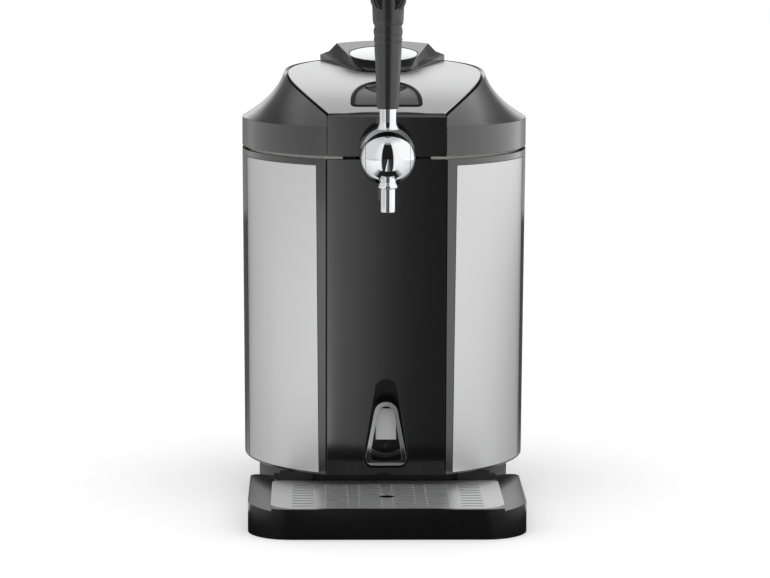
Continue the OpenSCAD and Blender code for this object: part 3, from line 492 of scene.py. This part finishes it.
class Finishes:
    """Every finish on the machine."""

    GLOSS_BLACK = Moulded("gloss_black", (0.0028, 0.0028, 0.003), 0.1, gloss=0.9, coat=0.75,
                          dust=0.01)
    COLLAR_BLACK = Moulded("collar_black", (0.006, 0.006, 0.0065), 0.2, gloss=0.9, coat=0.6)
    TRAY_BLACK = Moulded("tray_black", (0.0025, 0.0025, 0.0027), 0.26, gloss=0.9, coat=0.5)
    SATIN_BLACK = Moulded("satin_black", (0.018, 0.018, 0.0185), 0.42, gloss=0.6,
                          grain=0.00004, grain_size=0.0008, dust=0.05)
    HANDLE_BLACK = Moulded("handle_black", (0.009, 0.009, 0.0095), 0.32, gloss=0.9,
                           grain=0.00001, grain_size=0.0007)
    BADGE_BLACK = Moulded("badge_black", (0.01, 0.01, 0.0105), 0.18, gloss=0.8)
    BUTTON_GREY = Moulded("button_grey", (0.01, 0.01, 0.0105), 0.22, gloss=0.6, coat=0.1)
    # The button surround's own black, made nearly glossless as painted shade for the gap round the
    # button; also painted shade on the crown's front wall.
    BEZEL_BLACK_AND_SHADE = Moulded("bezel_black_and_shade", (0.004, 0.004, 0.0042), 0.3, gloss=0.12)
    # The niche cup's own black; also painted shade in the opener ring's recess and in the tap
    # ball's hollows.
    NICHE_BLACK_AND_HOLLOW_SHADE = Moulded("niche_black_and_hollow_shade", (0.005, 0.005, 0.0055), 0.3, gloss=0.6, grain=0.00002)
    CROWN_BLACK = Moulded("crown_black", (0.008, 0.008, 0.0085), 0.22, gloss=0.7, coat=0.2)
    LINING_WHITE = Moulded("white_moulding", (0.68, 0.68, 0.66), 0.38, grain=0.00002)
    HOSE = Moulded("milky_hose", (0.7, 0.72, 0.73), 0.25)
    TOP_STEEL = Brushed("top_steel", (0.63, 0.63, 0.635), 0.3)
    SIDE_STEEL = Brushed("side_steel", (0.64, 0.64, 0.645), 0.3, brush=Brush.ROUND,
                         contrast=0.025, depth=0.000003)
    GRILLE_STEEL = Brushed("grille_steel", (0.88, 0.88, 0.885), 0.38, depth=0.00005, metal=0.85)
    HOOD_STEEL = Brushed("hood_steel", (0.62, 0.62, 0.625), 0.45, metal=0.4)
    ALUMINIUM = Brushed("extruded_aluminium", (0.7, 0.71, 0.72), 0.34, brush=Brush.TURNED)
    LINER = Brushed("drawn_liner", (0.72, 0.73, 0.74), 0.3, brush=Brush.ROUND)
    CHROME = Plated("chrome_plate", (0.8, 0.805, 0.815), 0.03)
    CAP_CHROME = Plated("cap_chrome", (0.8, 0.805, 0.815), 0.09)
    ZINC = Plated("zinc_plated_steel", (0.56, 0.57, 0.58), 0.24, wave=0.000006)
    BRASS = Plated("machined_brass", (0.62, 0.45, 0.2), 0.22, wave=0.000006)
    # Real rubber on the feet and the lid's seal; also painted shade on the body's faces that look
    # up into the gap under the lid.
    RUBBER_AND_SEAM_SHADE = Grainy("rubber_and_seam_shade", (0.012, 0.012, 0.012), 0.75, second=(0.03, 0.03, 0.03),
                    grain_size=0.0007, depth=0.00004)
    FOAM = Grainy("graphite_foam", (0.012, 0.012, 0.0125), 0.9, second=(0.03, 0.03, 0.031),
                  grain_size=0.0016, depth=0.0003, cells=True)
    CERAMIC = Grainy("white_ceramic", (0.8, 0.8, 0.78), 0.6, second=(0.86, 0.86, 0.85))
    BOARD = Grainy("circuit_board", (0.02, 0.12, 0.045), 0.5, second=(0.05, 0.2, 0.08),
                   grain_size=0.003, cells=True)


# ---------------------------------------------------------------- modelling moves

class Rounding(Enum):
    """Facets across a rounded edge."""

    CHAMFER = 1
    PLAIN = 2
    FINE = 3
    FULL = 5


class Bench:
    """Modelling moves, each made with Blender's own operators. Angles are in degrees."""

    CREASE = 35.0
    SHADE_BREAK = 32.0
    FLATNESS = 0.4
    GAP = 1e-6

    @staticmethod
    def clear() -> None:
        """Leaves edit mode and deselects everything."""
        if bpy.context.object and bpy.context.object.mode != "OBJECT":
            bpy.ops.object.mode_set(mode="OBJECT")
        bpy.ops.object.select_all(action="DESELECT")

    @staticmethod
    def only(piece: bpy.types.Object) -> None:
        """Makes one object the only one selected, and the active one.

        Args:
            piece: the object.
        """
        Bench.clear()
        piece.select_set(True)
        bpy.context.view_layer.objects.active = piece

    @staticmethod
    def settle(piece: bpy.types.Object) -> bpy.types.Object:
        """Puts an object's place into its mesh.

        Args:
            piece: an object with any place, turn or size.

        Returns:
            The same object, at the origin, unturned and unscaled.
        """
        Bench.only(piece)
        bpy.ops.object.transform_apply(location=True, rotation=True, scale=True)
        return piece

    @staticmethod
    def merge(piece: bpy.types.Object, flatten: bool = True) -> None:
        """Makes one closed mesh of a solid's loose triangles.

        Args:
            piece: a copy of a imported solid.
            flatten: whether each flat face is then made one face.
        """
        Bench.only(piece)
        bpy.ops.mesh.customdata_custom_splitnormals_clear()
        bpy.ops.object.mode_set(mode="EDIT")
        bpy.ops.mesh.select_all(action="SELECT")
        bpy.ops.mesh.remove_doubles(threshold=Bench.GAP)
        if flatten:
            bpy.ops.mesh.dissolve_limited(angle_limit=math.radians(Bench.FLATNESS))
        bpy.ops.object.mode_set(mode="OBJECT")

    @staticmethod
    def dish(piece: bpy.types.Object, rim: float, step: float, upright: float) -> None:
        """Lowers the middle of a piece's top inside a rim.

        Args:
            piece: the mesh object.
            rim: the rim's width.
            step: how far the middle goes down.
            upright: the least Z of the normal of a face that belongs to the top.
        """
        Bench.only(piece)
        bpy.ops.object.mode_set(mode="EDIT")
        bpy.ops.mesh.select_all(action="DESELECT")
        bpy.ops.object.mode_set(mode="OBJECT")
        for face in piece.data.polygons:
            face.select = face.normal.z > upright
        bpy.ops.object.mode_set(mode="EDIT")
        bpy.ops.mesh.select_mode(type="FACE")
        bpy.ops.mesh.inset(thickness=rim, depth=-step)
        bpy.ops.object.mode_set(mode="OBJECT")

    @staticmethod
    def modify(piece: bpy.types.Object, kind: str, **settings: object) -> None:
        """Adds one modifier and applies it.

        Args:
            piece: the mesh object.
            kind: the modifier's type, such as "BEVEL".
            **settings: its properties.
        """
        Bench.only(piece)
        modifier = piece.modifiers.new(kind.lower(), kind)
        for name, setting in settings.items():
            setattr(modifier, name, setting)
        bpy.ops.object.modifier_apply(modifier=modifier.name)

    @staticmethod
    def soften(piece: bpy.types.Object, radius: float, rounding: Rounding) -> None:
        """Rounds the edges that are sharper than CREASE."""
        Bench.modify(piece, "BEVEL", width=radius, segments=rounding.value,
                     limit_method="ANGLE", angle_limit=math.radians(Bench.CREASE),
                     use_clamp_overlap=True, miter_outer="MITER_ARC")

    @staticmethod
    def smooth(piece: bpy.types.Object) -> None:
        """Shades a piece smooth up to SHADE_BREAK, with its broad faces kept true.

        Args:
            piece: the mesh object.
        """
        Bench.only(piece)
        bpy.ops.object.shade_smooth_by_angle(angle=math.radians(Bench.SHADE_BREAK))
        Bench.modify(piece, "WEIGHTED_NORMAL", mode="FACE_AREA", weight=100, keep_sharp=True)


# ---------------------------------------------------------------- sub-assemblies

@dataclass
class Assembly:
    """What every sub-assembly shares.

    Attributes:
        plain_edge: how far back most edges are rounded.
        facing: the least share of a normal along an axis, for a face that looks that way.
    """

    frame: dict
    plain_edge: float = 0.4 * MM
    facing: float = 0.5

    def fit(self, piece: bpy.types.Object, finish: Finish, node: str) -> bpy.types.Object:
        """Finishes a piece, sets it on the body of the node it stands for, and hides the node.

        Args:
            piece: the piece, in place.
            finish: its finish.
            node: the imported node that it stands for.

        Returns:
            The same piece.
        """
        piece.data.materials.clear()
        piece.data.materials.append(finish.material())
        body = self.frame["nodes"][node]["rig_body"]
        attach(piece, body)
        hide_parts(node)
        log.info("%s, on body %s, stands for %s", piece.name, body, node)
        return piece

    def copy(self, node: str, flatten: bool = True) -> bpy.types.Object:
        """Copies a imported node's solid as a merged mesh.

        Args:
            node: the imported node's name.
            flatten: whether each flat face is made one face.

        Returns:
            The copy.
        """
        source = self.frame["nodes"][node]
        piece = bpy.data.objects.new(f"{node}_form", source.data.copy())
        bpy.context.scene.collection.objects.link(piece)
        Bench.merge(piece, flatten)
        return piece

    @staticmethod
    def repaint(piece: bpy.types.Object, finish: Finish,
                chosen: Callable[[Vector, Vector], bool]) -> None:
        """Gives some of a piece's faces a second finish; every use here paints shade this way.

        Args:
            piece: the finished piece.
            finish: the second finish.
            chosen: whether a face is repainted, from its centre and its normal.
        """
        piece.data.materials.append(finish.material())
        for face in piece.data.polygons:
            if chosen(face.center, face.normal):
                face.material_index = len(piece.data.materials) - 1

    def dress(self, node: str, finish: Finish, radius: Optional[float] = None,
              rounding: Rounding = Rounding.PLAIN, flatten: bool = True) -> bpy.types.Object:
        """Stands a copy of a node's solid, its edges rounded, in the node's place.

        Args:
            node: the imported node's name.
            finish: the copy's finish.
            radius: how far back its edges are rounded, or None for the plain edge.
            rounding: facets across each rounded edge.
            flatten: whether flat faces are made one first; one with many holes is left alone.

        Returns:
            The new piece.
        """
        piece = self.copy(node, flatten)
        radius = self.plain_edge if radius is None else radius
        if radius > 0.0:
            Bench.soften(piece, radius, rounding)
        Bench.smooth(piece)
        return self.fit(piece, finish, node)


@dataclass
class Housing(Assembly):
    """The round body: casing, steel sides, flat front, foot and rim."""

    panel_edge: float = 0.25 * MM
    foot_edge: float = 0.8 * MM
    rubber_edge: float = 0.6 * MM
    seam_shade_upright: float = 0.7

    def build(self) -> None:
        """Builds everything that encloses the chamber, with matt painted shade where it looks up
        into the lid's gap.
        """
        casing = self.dress("casing", Finishes.GLOSS_BLACK)
        for side in ("left", "right"):
            self.dress(f"side_panel_{side}", Finishes.SIDE_STEEL, self.panel_edge)
        front = self.dress("front_fascia", Finishes.GLOSS_BLACK, rounding=Rounding.FINE)
        self.dress("niche_cup", Finishes.NICHE_BLACK_AND_HOLLOW_SHADE)
        self.dress("pedestal", Finishes.SATIN_BLACK, self.foot_edge, Rounding.FINE)
        self.dress("base_plate", Finishes.SATIN_BLACK)
        self.dress("feet", Finishes.RUBBER_AND_SEAM_SHADE, self.rubber_edge)
        rim = self.dress("body_rim", Finishes.SATIN_BLACK)
        # Painted shade: the faces that look up into the gap under the lid get the near-black rubber
        # finish, standing in for the shade in that gap.
        for piece in (casing, front, rim):
            self.repaint(piece, Finishes.RUBBER_AND_SEAM_SHADE, lambda centre, normal: normal.z > self.seam_shade_upright)
        self.dress("keg_liner", Finishes.LINER)
        self.dress("insulation", Finishes.FOAM, 0.0)


@dataclass
class Cooler(Assembly):
    """The rear cooling unit with its fan, board, switch and mains socket."""

    fine_edge: float = 0.2 * MM
    case_edge: float = 0.3 * MM

    def build(self) -> None:
        """Builds the cold side, the hot side and the cover, whose back has many slots."""
        self.dress("cold_block", Finishes.ALUMINIUM)
        self.dress("peltier_module", Finishes.CERAMIC, self.fine_edge)
        self.dress("heat_sink", Finishes.ALUMINIUM, self.fine_edge, Rounding.CHAMFER)
        self.dress("fan_frame", Finishes.SATIN_BLACK)
        self.dress("fan_rotor", Finishes.SATIN_BLACK, self.case_edge)
        self.dress("rear_cover", Finishes.SATIN_BLACK, self.case_edge, flatten=False)
        self.dress("cover_screws", Finishes.ZINC, self.fine_edge)
        self.dress("control_board", Finishes.BOARD, self.fine_edge)
        self.dress("power_inlet", Finishes.SATIN_BLACK, self.case_edge)
        self.dress("switch_frame", Finishes.SATIN_BLACK, self.case_edge)
        self.dress("power_switch", Finishes.GLOSS_BLACK, self.case_edge)


@dataclass
class Hinge(Assembly):
    """The lid's hinge."""

    knuckle_edge: float = 0.8 * MM
    pin_edge: float = 0.2 * MM

    def build(self) -> None:
        """Builds the knuckles, the pin and the lid's arm."""
        self.dress("hinge_base", Finishes.SATIN_BLACK, self.knuckle_edge)
        self.dress("hinge_pin", Finishes.ZINC, self.pin_edge)
        self.dress("hinge_arm", Finishes.SATIN_BLACK, self.knuckle_edge)


@dataclass
class Opener(Assembly):
    """The bottle opener in its arched niche."""

    ring_edge: float = 1.6 * MM
    hood_edge: float = 0.3 * MM
    screw_edge: float = 0.15 * MM
    cavity_shade_depth: float = 9.0 * MM

    def build(self) -> None:
        """Builds the ring, with painted shade on the floor of its recess, the hood plate and the
        screws.
        """
        ring = self.dress("opener_frame", Finishes.CHROME, self.ring_edge, Rounding.FULL)
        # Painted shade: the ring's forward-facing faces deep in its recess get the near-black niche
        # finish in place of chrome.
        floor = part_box("opener_frame")[0][1] + self.cavity_shade_depth
        self.repaint(ring, Finishes.NICHE_BLACK_AND_HOLLOW_SHADE, lambda centre, normal:
                     centre.y > floor and normal.y < -self.facing)
        self.dress("opener_plate", Finishes.HOOD_STEEL, self.hood_edge)
        self.dress("opener_screws", Finishes.SATIN_BLACK, self.screw_edge)


@dataclass
class Tap(Assembly):
    """The ball tap with its lever, handle, spout and beer line."""

    cast_edge: float = 0.6 * MM
    turned_edge: float = 0.5 * MM
    shank_edge: float = 0.3 * MM
    fine_edge: float = 0.2 * MM
    hollow_shade_reach: float = 25.0 * MM
    hollow_shade_depth: float = 12.5 * MM

    def build(self) -> None:
        """Builds the tap from ball to handle, with painted shade in the hollows round the ball's
        middle.
        """
        ball = self.dress("tap_body", Finishes.CHROME, self.cast_edge, Rounding.FINE)
        low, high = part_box("tap_pivot_pin")
        middle = (Vector(low) + Vector(high)) * 0.5
        # Painted shade: the ball's faces in its hollows round the pivot get the near-black niche
        # finish in place of chrome.
        self.repaint(ball, Finishes.NICHE_BLACK_AND_HOLLOW_SHADE, lambda centre, normal:
                     (centre - middle).length < self.hollow_shade_reach
                     and centre.y < middle.y + self.hollow_shade_depth)
        self.dress("tap_pivot_pin", Finishes.ZINC, self.fine_edge)
        self.dress("tap_collar", Finishes.CHROME, self.turned_edge, Rounding.FINE)
        self.dress("tap_shank", Finishes.CHROME, self.shank_edge)
        self.dress("shank_elbow", Finishes.CHROME, self.fine_edge)
        self.dress("spout", Finishes.CHROME, self.turned_edge, Rounding.FINE)
        self.dress("valve_piston", Finishes.ZINC, self.fine_edge)
        self.dress("tap_lever", Finishes.CHROME, self.cast_edge, Rounding.FINE)
        self.dress("tap_handle", Finishes.HANDLE_BLACK, self.turned_edge, Rounding.FINE)
        self.dress("handle_medallion", Finishes.BADGE_BLACK, rounding=Rounding.FINE)
        self.dress("beer_line", Finishes.HOSE, 0.0)
        self.dress("keg_coupler", Finishes.SATIN_BLACK)


@dataclass
class Lid(Assembly):
    """The lid: collar, shoulder, steel top and its inside."""

    shoulder_edge: float = 0.3 * MM
    panel_edge: float = 0.5 * MM

    def build(self) -> None:
        """Builds the lid's skins and its lining."""
        self.dress("lid_collar", Finishes.COLLAR_BLACK)
        self.dress("lid_shoulder", Finishes.COLLAR_BLACK, self.shoulder_edge)
        self.dress("lid_fascia", Finishes.GLOSS_BLACK, rounding=Rounding.FINE)
        self.dress("lid_panel", Finishes.TOP_STEEL, self.panel_edge, Rounding.FINE)
        self.dress("lid_frame", Finishes.SATIN_BLACK)
        self.dress("lid_inner", Finishes.LINING_WHITE)
        self.dress("lid_foam", Finishes.FOAM, 0.0)
        self.dress("lid_seal", Finishes.RUBBER_AND_SEAM_SHADE)


@dataclass
class Crown(Assembly):
    """The raised crown on the steel top, and the gas cap and its workings under it."""

    crown_edge: float = 0.6 * MM
    cap_edge: float = 0.5 * MM
    fitting_edge: float = 0.3 * MM
    shaded_wall_half: float = 36.0 * MM

    def build(self) -> None:
        """Builds the crown, with painted shade on its front wall, the cap and the gas parts."""
        crown = self.dress("crown", Finishes.CROWN_BLACK, self.crown_edge, Rounding.FINE)
        # Painted shade: the crown's forward-facing wall gets a darker, nearly glossless copy of its
        # black.
        self.repaint(crown, Finishes.BEZEL_BLACK_AND_SHADE, lambda centre, normal:
                     normal.y < -self.facing and abs(centre.x) < self.shaded_wall_half)
        self.dress("gas_well", Finishes.SATIN_BLACK)
        self.dress("gas_cap", Finishes.CAP_CHROME, self.cap_edge, Rounding.FINE)
        self.dress("cap_collar", Finishes.ZINC)
        self.dress("gas_cartridge", Finishes.ZINC, self.fitting_edge)
        self.dress("gas_regulator", Finishes.BRASS, self.fitting_edge)


@dataclass
class Release(Assembly):
    """The half-moon release button and the latch that it pushes."""

    rim: float = 2.6 * MM
    step: float = 1.2 * MM
    upright: float = 0.8

    def build(self) -> None:
        """Builds the button with its raised rim, and its surround, spring and latch."""
        # The surround is near-black and nearly glossless: partly its own black, partly painted
        # shade for the gap round the button.
        self.dress("button_bezel", Finishes.BEZEL_BLACK_AND_SHADE, rounding=Rounding.FINE)
        button = self.copy("release_button")
        Bench.dish(button, self.rim, self.step, self.upright)
        Bench.soften(button, self.plain_edge, Rounding.FINE)
        Bench.smooth(button)
        self.fit(button, Finishes.BUTTON_GREY, "release_button")
        self.dress("button_spring", Finishes.ZINC, 0.0)
        self.dress("latch_slide", Finishes.SATIN_BLACK)


@dataclass
class Drip(Assembly):
    """The drip tray and its slotted grille."""

    tray_edge: float = 0.8 * MM
    grille_edge: float = 0.3 * MM

    def build(self) -> None:
        """Builds the tray and the grille."""
        self.dress("drip_tray", Finishes.TRAY_BLACK, self.tray_edge, Rounding.FINE)
        self.dress("drip_grille", Finishes.GRILLE_STEEL, self.grille_edge)


# ---------------------------------------------------------------- studio

@dataclass
class Studio:
    """Pale floor, plain soft light, and a camera where the photographer stood.

    Stops are (place, level) pairs. An elevation goes from 0 at the horizon to 1 overhead, and an
    offset from 0 towards the camera to 0.5 behind the machine.

    Attributes:
        eye: the camera's place.
        pitch: how far it looks down, in degrees.
        heading: how far it looks to the right of straight ahead, in degrees.
        roll: how far it is turned about its own line of sight, in degrees.
        lens: its focal length in millimetres.
        sensor: its sensor's width in millimetres.
        facet: how far the flat front stands ahead of the model's middle.
        half_front: half the width of the flat front.
        brightest: the highest level that a reflection of the room reaches.
        walls: the room's level round the compass, in degrees from the camera's side.
        lower_walls: the same for the floor near the machine, which upright surfaces mirror.
        upper_walls: the same for the floor farther off, which the lid's collar mirrors.
        sheen: level across the flat front's mirror image, from -1 at its left edge to 1.
        ceiling: share of the ceiling at each elevation.
        ceiling_level: the ceiling's level.
        rear: level behind the machine at each elevation.
        behind: share of the room's rear at each offset.
        high: share of the rear's upper part at each elevation.
        flank: share of the rear's upper part at each offset.
        daylight: the room's level for all light but reflections.
        floor_size: the floor's width.
        far_floor: share of the farther floor, by the distance from the flat front over FAR.
        near_fade: the floor's dimming at each distance from the flat front.
        open_floor: share of the floor that the flat front mirrors, by how far ahead it is.
        clear_aside: share of the floor beside the machine that is clear of it.
        clear_behind: the same, behind the flat front.
        least_gleam: the level of a reflection of the floor under the machine.
        floor_glow: how much brighter than its lighting the camera sees the floor.
        floor_grey: the floor's colour.
        lamp_size: the lamp's two sides.
        lamp_power: its power in watts.
        lamp_place: its place.
    """

    eye: Triple = (-0.064, -2.9035, 0.620)
    pitch: float = 8.2
    heading: float = 1.278
    roll: float = 0.2
    lens: float = 141.66
    sensor: float = 36.0
    facet: float = 94.0 * MM
    half_front: float = 60.0 * MM
    brightest: float = 2.0
    walls: Stops = (
        (-180, 0.6), (-165, 0.15), (-145, 0.17), (-130, 0.55), (-118, 0.8), (-60, 0.8),
        (-28, 1.1), (-24, 0.015), (21, 0.015), (25, 1.1), (60, 1.2), (127, 1.2), (140, 0.5),
        (152, 0.2), (165, 0.15), (180, 0.6))
    lower_walls: Stops = (
        (-180, 0.1), (-152, 0.1), (-138, 0.58), (-95, 0.95), (-60, 1.12), (-28, 1.15),
        (-24, 0.02), (21, 0.02), (25, 1.15), (60, 1.08), (95, 0.93), (138, 0.5), (150, 0.08),
        (180, 0.08))
    upper_walls: Stops = (
        (-180, 0.1), (-150, 0.35), (-138, 0.75), (-95, 0.75), (-60, 0.6), (-28, 0.9),
        (-24, 0.02), (21, 0.02), (25, 1.15), (60, 1.1), (95, 1.35), (138, 1.3), (150, 0.5),
        (180, 0.1))
    sheen: Stops = (
        (-1.2, 0.0), (-1.06, 1.8), (-0.94, 1.7), (-0.84, 0.65), (-0.7, 0.55), (-0.44, 0.46),
        (-0.19, 0.32), (0.06, 0.17), (0.4, 0.09), (0.72, 0.06), (1.05, 0.06), (1.2, 0.0))
    ceiling: Stops = ((0.62, 0.0), (0.8, 1.0))
    ceiling_level: float = 0.7
    rear: Stops = ((0.0, 0.3), (0.1, 0.6), (0.3, 0.55), (0.55, 0.37), (0.8, 0.29))
    behind: Stops = ((0.445, 0.0), (0.47, 1.0))
    high: Stops = ((0.5, 0.0), (0.65, 1.0))
    flank: Stops = ((0.2, 0.0), (0.3, 1.0))
    daylight: float = 0.9
    floor_size: float = 16.0
    far_floor: Stops = ((0.58, 0.0), (0.62, 1.0))
    near_fade: Stops = ((0.3, 0.85), (0.9, 1.0))
    open_floor: Stops = ((0.28, 0.0), (0.31, 1.0))
    clear_aside: Stops = ((0.18, 0.0), (0.34, 1.0))
    clear_behind: Stops = ((0.0, 0.0), (0.02, 1.0))
    least_gleam: float = 0.015
    floor_glow: float = 0.17
    floor_grey: float = 0.95
    lamp_size: tuple[float, float] = (1.6, 1.2)
    lamp_power: float = 4.0
    lamp_place: Triple = (0.0, -0.1, 2.2)

    SHEEN_SPAN: ClassVar[float] = 4.0
    FAR: ClassVar[float] = 4.0

    def camera(self) -> None:
        """Places the camera."""
        made = bpy.data.cameras.new("camera")
        made.lens = self.lens
        made.sensor_width = self.sensor
        holder = bpy.data.objects.new("camera", made)
        bpy.context.scene.collection.objects.link(holder)
        aim = (Matrix.Rotation(math.radians(-self.heading), 4, "Z")
               @ Matrix.Rotation(math.radians(90.0 - self.pitch), 4, "X")
               @ Matrix.Rotation(math.radians(self.roll), 4, "Z"))
        holder.matrix_world = Matrix.Translation(self.eye) @ aim
        bpy.context.scene.camera = holder

    @staticmethod
    def rays(graph: Graph) -> tuple[Wire, Wire]:
        """1 where the camera looks, and 1 where a glossy surface does."""
        path = graph.node("ShaderNodeLightPath").outputs
        return Wire(graph, path["Is Camera Ray"]), Wire(graph, path["Is Glossy Ray"])

    @staticmethod
    def compass(graph: Graph, right: Wire, ahead: Wire) -> Wire:
        """A direction on the compass, from 0 to 1 with 0.5 towards the camera."""
        return graph.maths("ARCTAN2", right, ahead) * (0.5 / math.pi) + 0.5

    def around(self, graph: Graph, azimuth: Wire, levels: Stops) -> Wire:
        """How bright the room is in each direction, for reflections.

        Args:
            graph: the world's or the floor's graph.
            azimuth: the direction, as compass gives it.
            levels: the stops, with places in degrees from the camera's side.

        Returns:
            The brightness.
        """
        stops = [(angle / 360.0 + 0.5, level / self.brightest) for angle, level in levels]
        return graph.ramp(azimuth, stops) * self.brightest

    def world(self) -> None:
        """White background; for reflections a bright room, darker behind the camera."""
        world = bpy.data.worlds.new("room")
        world.use_nodes = True
        bpy.context.scene.world = world
        graph = Graph(world.node_tree)
        x, y, z = graph.axes(graph.node("ShaderNodeTexCoord").outputs["Generated"])
        azimuth = self.compass(graph, x, y * -1.0)
        elevation = graph.maths("ARCSINE", z) * (2.0 / math.pi)
        offset = graph.maths("ABSOLUTE", azimuth - 0.5)
        sides = self.around(graph, azimuth, self.walls)
        front = sides + (self.ceiling_level - sides) * graph.ramp(elevation, self.ceiling)
        rear = graph.ramp(elevation, self.rear) * self.brightest
        behind = graph.ramp(offset, self.behind)
        high = graph.ramp(elevation, self.high)
        share = behind + (1.0 - behind) * high * graph.ramp(offset, self.flank)
        seen = front + (rear - front) * share
        camera, glossy = self.rays(graph)
        strength = camera + (1.0 - camera) * (glossy * seen + (1.0 - glossy) * self.daylight)
        background = graph.node("ShaderNodeBackground", Color=WHITE, Strength=strength)
        output = graph.node("ShaderNodeOutputWorld")
        graph.plug(output.inputs["Surface"], background.outputs[0])

    def gleam(self, graph: Graph) -> Wire:
        """How bright glossy surfaces see the floor.

        Args:
            graph: the floor's graph.

        Returns:
            The brightness, dark under and close to the machine.
        """
        x, y, _ = graph.axes(graph.place())
        ahead = (y + self.facet) * -1.0
        azimuth = self.compass(graph, x, ahead)
        distance = graph.maths("SQRT", x * x + ahead * ahead)
        lower = self.around(graph, azimuth, self.lower_walls)
        upper = self.around(graph, azimuth, self.upper_walls)
        beyond = graph.ramp(distance * (1.0 / self.FAR), self.far_floor)
        room = (lower + (upper - lower) * beyond) * graph.ramp(distance, self.near_fade)
        reach = -self.facet - self.eye[1]
        mirrored = (x * reach + ahead * self.eye[0]) / (ahead + reach)
        across = mirrored / (self.SHEEN_SPAN * self.half_front) + 0.5
        stops = [(0.5 + share / self.SHEEN_SPAN, level / self.brightest)
                 for share, level in self.sheen]
        sheen = graph.ramp(across, stops) * self.brightest
        open_floor = graph.ramp(ahead, self.open_floor)
        aside = graph.ramp(graph.maths("ABSOLUTE", x), self.clear_aside)
        clear = graph.maths("MAXIMUM", graph.maths("MAXIMUM", open_floor, aside),
                            graph.ramp(ahead * -1.0, self.clear_behind))
        return clear * (room + sheen * open_floor) + self.least_gleam

    def floor(self) -> None:
        """A wide pale floor that keeps the shadow and stays white to the camera."""
        Bench.clear()
        bpy.ops.mesh.primitive_plane_add(size=self.floor_size, location=(0.0, 0.0, 0.0))
        floor = Bench.settle(bpy.context.object)
        floor.name = "studio_floor"
        material = bpy.data.materials.new("pale_floor")
        material.use_nodes = True
        graph = Graph(material.node_tree)
        camera, glossy = self.rays(graph)
        strength = camera * self.floor_glow + glossy * self.gleam(graph)
        glow = graph.node("ShaderNodeEmission", Color=WHITE, Strength=strength)
        grey = self.floor_grey
        matt = graph.node("ShaderNodeBsdfDiffuse", Color=(grey, grey, grey, 1.0))
        black = graph.node("ShaderNodeBsdfDiffuse", Color=BLACK)
        base = graph.node("ShaderNodeMixShader", _0=glossy, _1=matt.outputs[0],
                          _2=black.outputs[0])
        both = graph.node("ShaderNodeAddShader", _0=base.outputs[0], _1=glow.outputs[0])
        output = graph.node("ShaderNodeOutputMaterial")
        graph.plug(output.inputs["Surface"], both.outputs[0])
        floor.data.materials.append(material)

    def lamp(self) -> None:
        """One broad overhead lamp, which reflections don't show."""
        made = bpy.data.lights.new("overhead_lamp", "AREA")
        made.shape = "RECTANGLE"
        made.size, made.size_y = self.lamp_size
        made.energy = self.lamp_power
        holder = bpy.data.objects.new("overhead_lamp", made)
        bpy.context.scene.collection.objects.link(holder)
        holder.location = self.lamp_place
        holder.visible_glossy = False

    def build(self) -> None:
        """Sets up floor, light, camera and the plain view."""
        self.floor()
        self.world()
        self.lamp()
        self.camera()
        bpy.context.scene.view_settings.view_transform = "Standard"


def main() -> None:
    """Builds every sub-assembly, then the studio."""
    for kind in (Housing, Cooler, Hinge, Opener, Tap, Lid, Crown, Release, Drip):
        log.info("building %s", kind.__name__)
        kind(frame).build()
    Studio().build()


if __name__ == "__main__":
    logging.basicConfig(level=logging.INFO, format="%(message)s")
    main()
